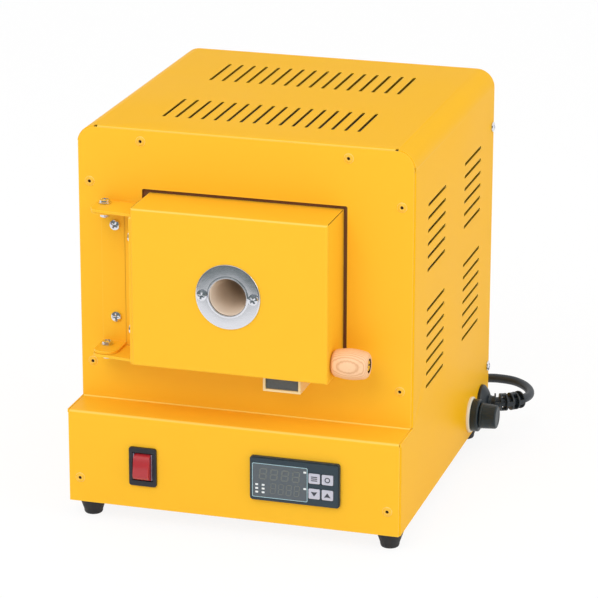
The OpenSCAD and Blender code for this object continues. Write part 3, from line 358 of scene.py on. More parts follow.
def linear(colour: Sequence[float]) -> tuple[float, float, float, float]:
    """Turn a colour of 0 to 255 per channel, as a screen shows it, into the linear one that a shader takes."""
    c = np.array(colour[:3], dtype=float) / 255.0
    value = np.where(c <= 0.04045, c / 12.92, ((c + 0.055) / 1.055) ** 2.4)
    return (float(value[0]), float(value[1]), float(value[2]), 1.0)


class Graph:
    """Short calls for the nodes of one node tree."""

    def __init__(self, tree: NodeTree) -> None:
        """Hold the tree that the nodes go into."""
        self.tree = tree

    def add(self, kind: str, inputs: dict | None = None, **settings: object) -> Node:
        """Add a node.

        Args:
            kind: the node's type without the leading "ShaderNode".
            inputs: values or output sockets, keyed by socket name or number.
            settings: attributes of the node.

        Returns:
            The new node.
        """
        node = self.tree.nodes.new(kind if kind.startswith("Node") else "ShaderNode" + kind)
        for name, value in settings.items():
            setattr(node, name, value)
        for key, value in (inputs or {}).items():
            if isinstance(value, NodeSocket):
                self.tree.links.new(value, node.inputs[key])
            else:
                node.inputs[key].default_value = value
        return node

    def math(self, operation: str, *values: object, clamp: bool = False) -> NodeSocket:
        """Add a Math node and return its output."""
        return self.add("Math", dict(enumerate(values)), operation=operation, use_clamp=clamp).outputs[0]

    def mix(self, factor: object, first: object, second: object) -> NodeSocket:
        """Mix two colours by a factor and return the colour."""
        return self.add("Mix", {0: factor, 6: first, 7: second}, data_type="RGBA").outputs[2]

    def scaled(self, colour: object, factor: object) -> NodeSocket:
        """Multiply a colour by a factor and return the colour."""
        return self.add("VectorMath", {0: colour, 3: factor}, operation="SCALE").outputs[0]

    def length(self, first: object, second: object) -> NodeSocket:
        """Give the square root of the sum of two squares."""
        return self.math("SQRT", self.math("ADD", *(self.math("MULTIPLY", v, v) for v in (first, second))))

    def place(self) -> NodeSocket:
        """Give the Object coordinates."""
        return self.add("TexCoord").outputs["Object"]

    def noise(self, scale: object, detail: float, stretch: Sequence[float] | None = None) -> NodeSocket:
        """Add noise over the Object coordinates, drawn out along each axis whose stretch is below 1."""
        place = self.place()
        if stretch is not None:
            place = self.add("Mapping", {"Vector": place, "Scale": stretch}).outputs[0]
        return self.add("TexNoise", {"Vector": place, "Scale": scale, "Detail": detail}).outputs[0]


def emptied(owner: Material | World) -> Graph:
    """Give a material or a world an empty node tree, and return its graph."""
    owner.use_nodes = True
    owner.node_tree.nodes.clear()
    return Graph(owner.node_tree)


class EffectGroups:
    """Shader node groups shared by the finishes, each built once."""

    @staticmethod
    def _new(name: str, inputs: dict[str, float | None],
             outputs: Sequence[str]) -> tuple[NodeTree, Graph, NodeOutputs]:
        """Start a group.

        Args:
            name: the group's name.
            inputs: default values keyed by socket name; the socket called Colour has none and is a colour.
            outputs: names of the output sockets, of which Colour again is a colour.

        Returns:
            The group, its graph and the sockets that bring its inputs.
        """
        tree = bpy.data.node_groups.new(name, "ShaderNodeTree")
        for way, sockets in (("INPUT", inputs), ("OUTPUT", dict.fromkeys(outputs))):
            for socket, value in sockets.items():
                kind = "NodeSocketColor" if socket == "Colour" else "NodeSocketFloat"
                made = tree.interface.new_socket(name=socket, in_out=way, socket_type=kind)
                if value is not None:
                    made.default_value = value
        g = Graph(tree)
        return tree, g, g.add("NodeGroupInput").outputs

    @classmethod
    @cache
    def speckle(cls) -> NodeTree:
        """Return the group that varies a colour by noise and gives a height for the surface's fine skin."""
        inputs = {"Colour": None, "Patch Scale": 20.0, "Patch Amount": 0.05, "Skin Scale": 900.0, "Roughness": 0.4,
                  "Roughness Swing": 0.05}
        tree, g, ins = cls._new("skin_speckle", inputs, ("Colour", "Roughness", "Height"))
        swing = g.math("MULTIPLY", g.math("SUBTRACT", g.noise(ins["Patch Scale"], 3.0), 0.5), 2.0)
        factor = g.math("ADD", 1.0, g.math("MULTIPLY", swing, ins["Patch Amount"]))
        rough = g.math("ADD", ins["Roughness"], g.math("MULTIPLY", swing, ins["Roughness Swing"]), clamp=True)
        g.add("NodeGroupOutput", {"Colour": g.scaled(ins["Colour"], factor), "Roughness": rough,
                                  "Height": g.noise(ins["Skin Scale"], 2.0)})
        return tree

    @classmethod
    @cache
    def edge_wear(cls) -> NodeTree:
        """Return the group whose mask is 1 where the surface turns sharply, broken up by noise."""
        # The mask places edge wear together with painted edge highlights and painted shade lines.
        tree, g, ins = cls._new("edge_wear", {"Width": 0.0006, "Strength": 4.0, "Breakup Scale": 400.0}, ("Mask",))
        bent = g.add("Bevel", {"Radius": ins["Width"]}, samples=4).outputs[0]
        true_normal = g.add("NewGeometry").outputs["Normal"]
        alike = g.add("VectorMath", {0: bent, 1: true_normal}, operation="DOT_PRODUCT").outputs["Value"]
        turned = g.math("MULTIPLY", g.math("SUBTRACT", 1.0, alike), ins["Strength"], clamp=True)
        breakup = g.math("ADD", 0.4, g.noise(ins["Breakup Scale"], 3.0))
        g.add("NodeGroupOutput", {"Mask": g.math("MULTIPLY", turned, breakup, clamp=True)})
        return tree

    @classmethod
    @cache
    def growth_rings(cls) -> NodeTree:
        """Return the group that draws a tree's growth rings about an axis along X, and its fine pores."""
        inputs = {"Centre Y": 0.0, "Centre Z": 0.0, "Spacing": 0.0015, "Waver": 0.0006}
        tree, g, ins = cls._new("growth_rings", inputs, ("Ring", "Pores"))
        axes = g.add("SeparateXYZ", {0: g.place()}).outputs
        away = g.length(g.math("SUBTRACT", axes["Y"], ins["Centre Y"]), g.math("SUBTRACT", axes["Z"], ins["Centre Z"]))
        waver = g.math("SUBTRACT", g.noise(90.0, 2.0, (0.25, 1.0, 1.0)), 0.5)
        away = g.math("ADD", away, g.math("MULTIPLY", waver, ins["Waver"]))
        turn = g.math("MULTIPLY", g.math("DIVIDE", away, ins["Spacing"]), 2 * math.pi)
        wave = g.math("ADD", g.math("MULTIPLY", g.math("SINE", turn), 0.5), 0.5)
        g.add("NodeGroupOutput", {"Ring": g.math("POWER", wave, 2.5), "Pores": g.noise(2600.0, 2.0, (0.05, 1.0, 1.0))})
        return tree

    @classmethod
    @cache
    def fibres(cls) -> NodeTree:
        """Return the group for felted ceramic fibre: crossed streaks for the height and soft blotches."""
        tree, g, ins = cls._new("felted_fibres", {"Scale": 700.0}, ("Blotch", "Height"))
        first, second, third = (g.noise(ins["Scale"], 4.0, stretch)
                                for stretch in ((0.2, 1.0, 1.0), (1.0, 0.2, 1.0), (1.0, 1.0, 0.2)))
        height = g.math("MAXIMUM", g.math("MAXIMUM", first, second), third)
        g.add("NodeGroupOutput", {"Blotch": g.noise(45.0, 5.0), "Height": height})
        return tree


Surface = tuple[NodeSocket, NodeSocket, NodeSocket]


@dataclass(frozen=True)
class Finish:
    """A plain finish: one colour with patches, a fine skin, and edge colour of wear and painted edge light."""

    name: str
    colour: Rgb
    roughness: float = 0.45
    metallic: float = 0.0
    patch_scale: float = 18.0
    patch_amount: float = 0.04
    skin_scale: float = 900.0
    skin_depth: float = 0.00002
    skin_strength: float = 0.25
    roughness_swing: float = 0.05
    wear_colour: Rgb | None = None
    wear_width: float = 0.0006
    wear_strength: float = 4.0
    fold_colour: Rgb | None = None
    coat: float = 0.0
    specular: float = 0.5
    subsurface: float = 0.0
    sheen: float = 0.0
    transmission: float = 0.0

    def surface(self, g: Graph) -> Surface:
        """Wire the plain surface and return its colour, roughness and height."""
        return self.speckle(g, linear(self.colour))

    def speckle(self, g: Graph, colour: object) -> Surface:
        """Vary a colour by the shared speckle group, and return colour, roughness and height."""
        outputs = g.add("Group", {
            "Colour": colour, "Patch Scale": self.patch_scale, "Patch Amount": self.patch_amount,
            "Skin Scale": self.skin_scale, "Roughness": self.roughness, "Roughness Swing": self.roughness_swing,
        }, node_tree=EffectGroups.speckle()).outputs
        return outputs["Colour"], outputs["Roughness"], outputs["Height"]

    def material(self) -> Material:
        """Build the material with edge wear, painted light on edges and folds, and bump, or return it if it is there.
        """
        if self.name in bpy.data.materials:
            return bpy.data.materials[self.name]
        material = bpy.data.materials.new(self.name)
        material.diffuse_color = linear(self.colour)
        g = emptied(material)
        colour, rough, height = self.surface(g)
        # Edge colour: lighter edges paint highlights as well as wear, darker edges paint shade lines.
        if self.wear_colour is not None:
            edge_tint_node = g.add("Group", {"Width": self.wear_width, "Strength": self.wear_strength},
                         node_tree=EffectGroups.edge_wear())
            colour = g.mix(edge_tint_node.outputs["Mask"], colour, linear(self.wear_colour))
        # Painted highlight on faces that turn from the front to the top, read from the fold attribute.
        if self.fold_colour is not None:
            fold = g.add("Attribute", attribute_name="fold").outputs["Fac"]
            colour = g.mix(fold, colour, linear(self.fold_colour))
        bump = g.add("Bump", {"Height": height, "Distance": self.skin_depth, "Strength": self.skin_strength})
        shader = g.add("BsdfPrincipled", {
            "Base Color": colour, "Roughness": rough, "Normal": bump.outputs[0], "Metallic": self.metallic,
            "Coat Weight": self.coat, "Coat Roughness": 0.1, "Specular IOR Level": self.specular,
            "Subsurface Weight": self.subsurface, "Subsurface Scale": 0.002, "Sheen Weight": self.sheen,
            "Transmission Weight": self.transmission,
        })
        g.add("OutputMaterial", {"Surface": shader.outputs[0]})
        return material


@dataclass(frozen=True)
class LinedPaint(Finish):
    """Paint for the cover with a dark inner face: painted shade of the inside seen through the slots.

    The depth below the cover's rounded outline is R less the length of (|x| - W + R, z - H + R), where each is
    taken as 0 if it is negative. Deeper than half the sheet is the inner face.
    """

    # Painted shade colour for the inner face.
    lining: Rgb = (60, 38, 18)
    half_width: float = 135.0
    top: float = 312.0
    corner: float = 15.0
    sheet: float = 1.2
    front: float = 4.0
    back: float = 259.0

    def surface(self, g: Graph) -> Surface:
        """Wire the paint's surface, with the painted shade colour on the inner face."""
        axes = g.add("SeparateXYZ", {0: g.place()}).outputs
        x = g.math("ABSOLUTE", g.math("ADD", axes["X"], float(CASE_SHIFT[0]) * MM))
        out = g.math("MAXIMUM", g.math("SUBTRACT", x, (self.half_width - self.corner) * MM), 0.0)
        up = g.math("MAXIMUM", g.math("SUBTRACT", axes["Z"], (self.top - self.corner) * MM), 0.0)
        inner = g.math("LESS_THAN", g.length(out, up), (self.corner - self.sheet / 2) * MM)
        y = g.math("ADD", axes["Y"], float(CASE_SHIFT[1]) * MM)
        between = g.math("MULTIPLY", g.math("GREATER_THAN", y, self.front * MM),
                         g.math("LESS_THAN", y, self.back * MM))
        return self.speckle(g, g.mix(g.math("MULTIPLY", inner, between), linear(self.colour), linear(self.lining)))


@dataclass(frozen=True)
class BrushedFinish(Finish):
    """Metal with fine lines drawn along one axis."""

    stretch: tuple[float, float, float] = (0.04, 1.0, 1.0)
    line_scale: float = 2500.0
    line_amount: float = 0.12
    rough_amount: float = 0.12

    def surface(self, g: Graph) -> Surface:
        """Wire the metal's surface, whose lines vary its colour and roughness and are its height."""
        lines = g.noise(self.line_scale, 3.0, self.stretch)
        colour, rough, _ = self.speckle(g, linear(self.colour))
        swing = g.math("ADD", 1.0 - self.line_amount / 2, g.math("MULTIPLY", lines, self.line_amount))
        rough = g.math("ADD", rough, g.math("MULTIPLY", g.math("SUBTRACT", lines, 0.5), self.rough_amount))
        return g.scaled(colour, swing), rough, lines


@dataclass(frozen=True)
class WoodFinish(Finish):
    """Turned wood with growth rings about an axis along X."""

    ring_colour: Rgb = (214, 150, 98)
    centre: tuple[float, float] = (0.0, 0.0)
    spacing: float = 0.0016

    def surface(self, g: Graph) -> Surface:
        """Wire the wood's surface: half-strength rings, and pores where their noise is high."""
        rings = g.add("Group", {"Centre Y": self.centre[0], "Centre Z": self.centre[1], "Spacing": self.spacing},
                      node_tree=EffectGroups.growth_rings()).outputs
        dark = linear(self.ring_colour)
        tone = g.mix(g.math("MULTIPLY", rings["Ring"], 0.5), linear(self.colour), dark)
        pore = g.math("MULTIPLY", g.math("GREATER_THAN", rings["Pores"], 0.64), 0.25)
        colour, rough, _ = self.speckle(g, g.mix(pore, tone, dark))
        return colour, rough, rings["Pores"]


@dataclass(frozen=True)
class FibreFinish(Finish):
    """Felted ceramic fibre or fired ceramic, blotched, with a fibrous skin."""

    roughness: float = 0.92
    skin_depth: float = 0.0003
    skin_strength: float = 0.5
    specular: float = 0.2
    blotch_colour: Rgb = (214, 198, 170)
    fibre_scale: float = 700.0

    def surface(self, g: Graph) -> Surface:
        """Wire the fibres' surface: blotches in its colour, and felted streaks as its height."""
        felt = g.add("Group", {"Scale": self.fibre_scale}, node_tree=EffectGroups.fibres()).outputs
        colour, rough, _ = self.speckle(g, g.mix(felt["Blotch"], linear(self.colour), linear(self.blotch_colour)))
        return colour, rough, felt["Height"]


# The sheets' paint: its pale edge colour is painted edge highlight as well as wear, its fold colour a painted fold
# highlight.
PAINT_SKIN: dict[str, Any] = {
    "roughness": 0.42, "patch_amount": 0.018, "patch_scale": 9.0, "skin_scale": 1300.0, "skin_depth": 0.00003,
    "skin_strength": 0.3, "wear_colour": (255, 216, 96), "wear_width": 0.0009, "wear_strength": 3.5,
    "fold_colour": (255, 226, 128)}


# Lighter edge colours below are painted edge highlights as well as wear; darker ones are painted shade lines.
@dataclass(frozen=True)
class Finishes:
    """Every finish of the furnace."""

    paint: Finish = Finish("Furnace_yellow_paint", (253, 194, 48), specular=0.12, **PAINT_SKIN)
    lined_paint: LinedPaint = LinedPaint("Cover_yellow_paint", (253, 190, 16), specular=0.06, **PAINT_SKIN)
    # The rivet heads' bright edge colour is a painted highlight.
    rivet_paint: Finish = Finish(
        "Rivet_yellow_paint", (251, 192, 40), roughness=0.36, patch_amount=0.02, wear_colour=(255, 236, 160),
        wear_width=0.0008, wear_strength=9.0)
    # Paler yellow of the foot bead: a painted highlight line.
    bead_paint: Finish = Finish("Bead_pale_yellow_paint", (255, 218, 100), roughness=0.42, specular=0.12)
    # Dark brown for the pan's corner seams, and painted shade inside the grip's end well.
    seam: Finish = Finish("Seam_dark_brown", (64, 38, 12), roughness=0.9, specular=0.1)
    catch_paint: Finish = Finish(
        "Catch_cream_paint", (247, 224, 170), roughness=0.5, patch_amount=0.05, wear_colour=(250, 232, 190),
        wear_width=0.0004)
    zinc: BrushedFinish = BrushedFinish(
        "Zinc_plated_ring", (226, 227, 233), roughness=0.13, metallic=1.0, patch_amount=0.05, patch_scale=60.0,
        skin_strength=0.1, skin_depth=0.000004, line_amount=0.06)
    screw: Finish = Finish(
        "Zinc_plated_screws", (226, 228, 234), roughness=0.13, metallic=1.0, patch_amount=0.06, patch_scale=300.0,
        skin_scale=2500.0, skin_depth=0.00001, wear_colour=(235, 236, 238), wear_width=0.0002)
    inner_steel: BrushedFinish = BrushedFinish(
        "Galvanised_inner_sheet", (96, 92, 88), roughness=0.42, metallic=1.0, patch_amount=0.16, patch_scale=70.0,
        line_amount=0.08)
    # Dark colour of the mandrel ends: painted shade of the rivets' holes.
    dark_steel: Finish = Finish("Mandrel_dark_steel", (52, 34, 14), roughness=0.6, specular=0.2)
    rubber: Finish = Finish(
        "Foot_black_rubber", (34, 34, 36), roughness=0.72, patch_amount=0.12, patch_scale=120.0, skin_scale=1800.0,
        skin_strength=0.5, wear_colour=(70, 70, 72), sheen=0.1)
    board: FibreFinish = FibreFinish("Ceramic_fibre_board", (236, 230, 216))
    # Dark colour of the mouth collar: painted shade of the gap round the door.
    dark_board: FibreFinish = FibreFinish("Mouth_dark_board", (142, 100, 68), blotch_colour=(116, 80, 54))
    refractory: FibreFinish = FibreFinish(
        "Fired_refractory", (222, 190, 160), roughness=0.85, skin_depth=0.0002, blotch_colour=(196, 156, 122),
        fibre_scale=1500.0, specular=0.25)
    sight_ceramic: FibreFinish = FibreFinish(
        "Sight_tube_ceramic", (254, 242, 226), roughness=0.85, skin_strength=0.6, blotch_colour=(240, 218, 196),
        fibre_scale=1300.0, specular=0.25)
    element: Finish = Finish(
        "Oxidised_heating_wire", (88, 80, 74), roughness=0.6, metallic=0.7, patch_amount=0.3, patch_scale=500.0)
    wood: WoodFinish = WoodFinish(
        "Turned_beech_grip", (250, 204, 160), roughness=0.5, patch_amount=0.05, patch_scale=60.0, skin_depth=0.00006,
        skin_strength=0.3, specular=0.4, ring_colour=(206, 138, 86), spacing=0.0012)
    ferrite: Finish = Finish(
        "Magnet_ferrite", (86, 92, 94), roughness=0.5, patch_amount=0.25, patch_scale=700.0, skin_strength=0.5,
        wear_colour=(110, 116, 124), wear_width=0.0004)
    # Darker edge colour: painted shade line round the edges.
    switch_black: Finish = Finish(
        "Switch_black_plastic", (26, 28, 38), roughness=0.42, skin_scale=2200.0, skin_strength=0.2,
        wear_colour=(22, 24, 28), wear_width=0.0006)
    # Lighter edge colour: painted highlight on the rocker.
    rocker_red: Finish = Finish(
        "Rocker_red_plastic", (180, 44, 52), roughness=0.3, patch_amount=0.05, skin_strength=0.1, coat=0.15,
        subsurface=0.2, wear_colour=(232, 110, 112), wear_width=0.0007)
    lilac: Finish = Finish("Switch_lilac_plastic", (128, 118, 136), roughness=0.4, patch_amount=0.04)
    # Darker edge colour: painted shade line round the edges.
    controller_black: Finish = Finish(
        "Controller_black_plastic", (34, 54, 66), roughness=0.42, skin_scale=2600.0, skin_strength=0.3,
        wear_colour=(18, 22, 26), wear_width=0.0007)
    window: Finish = Finish(
        "Display_window_grey", (76, 86, 94), roughness=0.18, patch_amount=0.03, coat=0.4, skin_strength=0.05)
    segment: Finish = Finish(
        "Display_unlit_segments", (104, 110, 108), roughness=0.35, patch_amount=0.03, skin_strength=0.05)
    print_blue: Finish = Finish("Bezel_light_blue_print", (178, 214, 224), roughness=0.45, patch_amount=0.04)
    print_white: Finish = Finish("Bezel_white_print", (232, 238, 240), roughness=0.45, patch_amount=0.04)
    key: Finish = Finish(
        "Key_pale_plastic", (196, 197, 211), roughness=0.42, patch_amount=0.03, skin_scale=2600.0,
        wear_colour=(236, 238, 242), wear_width=0.0005)
    key_mark: Finish = Finish("Key_dark_print", (56, 60, 70), roughness=0.5)
    relay: Finish = Finish("Relay_pale_plastic", (216, 219, 224), roughness=0.5, wear_colour=(238, 240, 242))
    cream: Finish = Finish(
        "Cream_plastic", (238, 232, 212), roughness=0.4, patch_amount=0.03, wear_colour=(252, 250, 240))
    bakelite: Finish = Finish(
        "Fuse_holder_black", (30, 42, 48), roughness=0.4, patch_amount=0.1, patch_scale=150.0, skin_scale=1800.0,
        skin_strength=0.3, wear_colour=(84, 94, 98), wear_width=0.0005, specular=0.35)
    glass: Finish = Finish("Fuse_glass", (226, 236, 236), roughness=0.06, patch_amount=0.01, transmission=0.9)
    bushing: Finish = Finish(
        "Bushing_black_plastic", (24, 34, 42), roughness=0.42, patch_amount=0.08, skin_scale=1600.0,
        wear_colour=(84, 88, 92), wear_width=0.0005)
    jacket: Finish = Finish(
        "Lead_dark_jacket", (36, 44, 52), roughness=0.46, patch_amount=0.08, patch_scale=40.0, skin_scale=1400.0,
        skin_strength=0.4, skin_depth=0.00004)
    brass: BrushedFinish = BrushedFinish("Plug_blade_brass", (206, 176, 104), roughness=0.3, metallic=1.0)


FINISH = Finishes()


# ---------------------------------------------------------------------------------------------------------------
# The bench on which pieces are made


def linked(name: str, data: ID) -> Object:
    """Make an object of a mesh, lamp or camera and put it in the scene."""
    obj = bpy.data.objects.new(name, data)
    bpy.context.scene.collection.objects.link(obj)
    return obj


def stand(obj: Object, side: Array, up: Array, back: Array, at: Sequence[float]) -> None:
    """Place an object with its X, Y and Z axes along side, up and back."""
    matrix = np.eye(4)
    matrix[:3] = np.column_stack([side, up, back, at])
    obj.matrix_world = Matrix(matrix.tolist())


@dataclass(frozen=True)
class Edges:
    """How a piece's edges are treated.

    An edge that turns by more than sharp degrees stays sharp. With a bevel, in millimetres, it is rounded by that
    width in so many segments, and miter says how rounded edges meet at an outer corner.
    """

    bevel: float = 0.0
    sharp: float = 38.0
    segments: int = 2
    miter: str = "MITER_ARC"


@dataclass
class Workshop:
    """Turns shapes into objects, stands in for CAD nodes and keeps count of what is made."""

    frame: dict
    merge_within: float = 2e-6
    made: list[str] = field(default_factory=list)

    def body_of(self, node: str) -> str:
        """Name the body that a CAD node rides on."""
        return str(self.frame["nodes"][node]["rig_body"])

    def add(self, name: str, shell: Shell, finish: Finish, like: str, stands_for: Sequence[str] = (),
            edges: Edges = Edges()) -> Object:
        """Make an object of a shape given in the case frame.

        Args:
            name: the object's name.
            shell: its shape, in millimetres.
            finish: its finish.
            like: the CAD node whose body it takes.
            stands_for: CAD nodes that it replaces.
            edges: how its edges are treated.

        Returns:
            The new object.
        """
        mesh = bpy.data.meshes.new(name)
        points = (shell.points - CASE_SHIFT) * MM
        mesh.from_pydata(points.tolist(), [], [list(map(int, face)) for block in shell.faces for face in block])
        self._merge(mesh)
        return self._finished(name, mesh, finish, like, stands_for, edges)

    def stand_in(self, name: str, shell: Shell, finish: Finish, node: str, **edges: Any) -> Object:
        """Make an object that takes the place of one CAD node; edges are fields of Edges."""
        return self.add(name, shell, finish, node, [node], Edges(**edges))

    def refined(self, node: str, finish: Finish, bevel: float, sharp: float = 32.0, **edges: Any) -> Object:
        """Stand in for a CAD node with a merged copy that is shaded smoothly and has rounded edges.

        Args:
            node: the CAD node.
            finish: the finish of the copy.
            bevel: width of the rounded edges, in millimetres.
            sharp: angle in degrees above which an edge is rounded.
            edges: further fields of Edges.

        Returns:
            The new object.
        """
        mesh = self.frame["nodes"][node].data.copy()
        mesh.name = node + "_fine"
        self._merge(mesh, level_within=0.4)
        return self._finished(node + "_fine", mesh, finish, node, [node], Edges(bevel, sharp, **edges))

    def refine_all(self, finish: Finish, bevel: float, *nodes: str) -> None:
        """Refine several CAD nodes in one finish, with edges rounded alike."""
        for node in nodes:
            self.refined(node, finish, bevel)

    def _merge(self, mesh: Mesh, level_within: float = 0.0) -> None:
        """Merge points that lie together and, if level_within is given, faces that turn by less than its degrees."""
        work = bmesh.new()
        work.from_mesh(mesh)
        bmesh.ops.remove_doubles(work, verts=work.verts, dist=self.merge_within)
        if level_within:
            bmesh.ops.dissolve_limit(work, angle_limit=math.radians(level_within), verts=work.verts, edges=work.edges)
        bmesh.ops.recalc_face_normals(work, faces=work.faces)
        work.to_mesh(mesh)
        work.free()

    def _finished(self, name: str, mesh: Mesh, finish: Finish, like: str, stands_for: Sequence[str],
                  edges: Edges) -> Object:
        """Turn a mesh into a shaded and finished object on the body of a CAD node, as add describes."""
        obj = linked(name, mesh)
        if finish.fold_colour is not None:
            self._mark_folds(mesh)
        mesh.polygons.foreach_set("use_smooth", np.ones(len(mesh.polygons), dtype=bool))
        mesh.set_sharp_from_angle(angle=math.radians(edges.sharp))
        mesh.update()
        mesh.materials.clear()
        mesh.materials.append(finish.material())
        if edges.bevel:
            rounding = obj.modifiers.new("Rounded_edges", "BEVEL")
            for key, value in {"width": edges.bevel * MM, "segments": edges.segments, "limit_method": "ANGLE",
                               "angle_limit": math.radians(edges.sharp), "use_clamp_overlap": True,
                               "harden_normals": True, "miter_outer": edges.miter}.items():
                setattr(rounding, key, value)
        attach(obj, self.body_of(like))
        if stands_for:
            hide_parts(*stands_for)
        self.made.append(obj.name)
        LOG.info("made %s with %d faces", name, len(mesh.polygons))
        return obj

    @staticmethod
    def _mark_folds(mesh: Mesh) -> None:
        """Write each face's share of a front-to-top fold, from its normal's forward part times its upward part."""
        # The fold share is the mask of a painted highlight along front folds.
        normals = np.empty(len(mesh.polygons) * 3)
        mesh.polygons.foreach_get("normal", normals)
        _, forward, upward = (normals.reshape(-1, 3) * (1, -1, 1)).clip(0.0, 1.0).T
        share = np.clip(3.0 * forward * upward - 0.9, 0.0, 0.5)
        mesh.attributes.new("fold", "FLOAT", "FACE").data.foreach_set("value", share.astype(np.float32))


# ---------------------------------------------------------------------------------------------------------------
# Sub-assemblies


@dataclass
class Hardware:
    """Screws, nuts and blind rivets, worked out once and used in many places."""

    head_d: float = 8.3
    head_h: float = 2.6
    screw_d: float = 4.0
    nut_across: float = 7.0
    nut_h: float = 3.2
    washer_d: float = 9.8
    washer_h: float = 0.9
    rivet_d: float = 7.8
    cross_r: float = 2.7

    def pan_screw(self, shank: float, spin: float = 45.0) -> Shell:
        """Work out a pan head with a cross recess, and its shank below z = 0.

        The head is a polar grid. Its height is a dome less a cross whose arms grow shallower outwards.

        Args:
            shank: length of the shank.
            spin: how far the cross is turned, in degrees.

        Returns:
            The screw with its seat at z = 0.
        """
        r_head, half, dome, sides = self.head_d / 2, self.screw_d / 2, self.head_d, 96
        ring = np.concatenate([[half - 0.2, r_head - 0.15, r_head, r_head, r_head - 0.14],
                               np.linspace(r_head - 0.45, 0.0, 30)])
        angle = np.linspace(0.0, 2 * np.pi, sides, endpoint=False)[None, :]
        r = np.repeat(ring[:, None], sides, axis=1)
        x, y = r * np.cos(angle), r * np.sin(angle)
        top = self.head_h - dome + np.sqrt(dome**2 - r**2)
        depth = 0.8 + 1.1 * np.clip(1.0 - r / self.cross_r, 0.0, 1.0)
        z = top - np.maximum(self._arm(x, y), self._arm(y, x)) * depth * (r < self.cross_r + 0.15)
        z[:4] = np.array([0.0, 0.0, 0.15, 1.15])[:, None]
        head = grid_shell(np.stack([x, y, z], axis=-1), wrap_v=True)
        return joined([head, shank_of(half, 0.2, -shank)]).spun(spin)

    def _arm(self, along: Array, across: Array) -> Array:
        """Give 1 inside one arm pair of the cross recess and 0 outside, with a steep wall between."""
        wide = 0.74 - 0.12 * np.clip(np.abs(along) / self.cross_r, 0.0, 1.0)
        inside = np.clip((wide - np.abs(across)) / 0.16 + 0.5, 0.0, 1.0)
        return inside * np.clip((self.cross_r - np.abs(along)) / 0.2 + 0.5, 0.0, 1.0)

    def nut(self) -> Shell:
        """Work out a hex nut on z = 0: its radius is the hexagon's, and a 30 degree cone cuts its corners back."""
        angle = np.linspace(0.0, 2 * np.pi, 96, endpoint=False)
        flat, bore, high, chamfer = self.nut_across / 2, self.screw_d / 2 + 0.02, self.nut_h, 0.35
        hexagon = flat / np.cos((angle + np.pi / 6) % (np.pi / 3) - np.pi / 6)
        cut = 0.04 + (hexagon - flat) * 0.62
        rows = [(bore, chamfer), (bore + chamfer, 0), (flat - 0.1, 0), (hexagon, cut), (hexagon, high - cut),
                (flat - 0.1, high), (bore + chamfer, high), (bore, high - chamfer)]
        points = [np.column_stack([r * np.cos(angle), r * np.sin(angle), z + 0 * angle]) for r, z in rows]
        return grid_shell(np.stack(points), wrap_u=True, wrap_v=True)

    def washer(self) -> Shell:
        """Work out a flat washer that hangs below z = 0."""
        inner, outer, low = self.screw_d / 2, self.washer_d / 2, -self.washer_h
        return ring_of([(inner, low, 0), (outer, low, 0.15), (outer, 0, 0.15), (inner, 0, 0)], 48)

    def rivet(self, grip: float) -> Shell:
        """Work out a blind rivet on z = 0: a shallow dome with the mandrel's hole, and its set end at depth grip."""
        edge, low, hole, body, swelled = self.rivet_d / 2, -grip - 2.4, 1.3, 2.0, 2.6
        return ring_of([(hole, low, 0), (hole, 0.9, 0.15), (body, 1.16, 0.3), (3.1, 0.8, 0.5), (edge, 0.16, 0.12),
                        (edge, 0.0, 0), (body, 0.0, 0), (body, -grip, 0), (swelled, -grip, 0.4),
                        (swelled, low, 0.6)], 48)

    def stub(self) -> Shell:
        """Work out the end of the mandrel that is left inside a rivet."""
        return revolved(softened([(0, 0.2, 0), (1.2, 0.0, 0.15), (1.2, -3.0, 0), (0, -3.0, 0)]), 24)


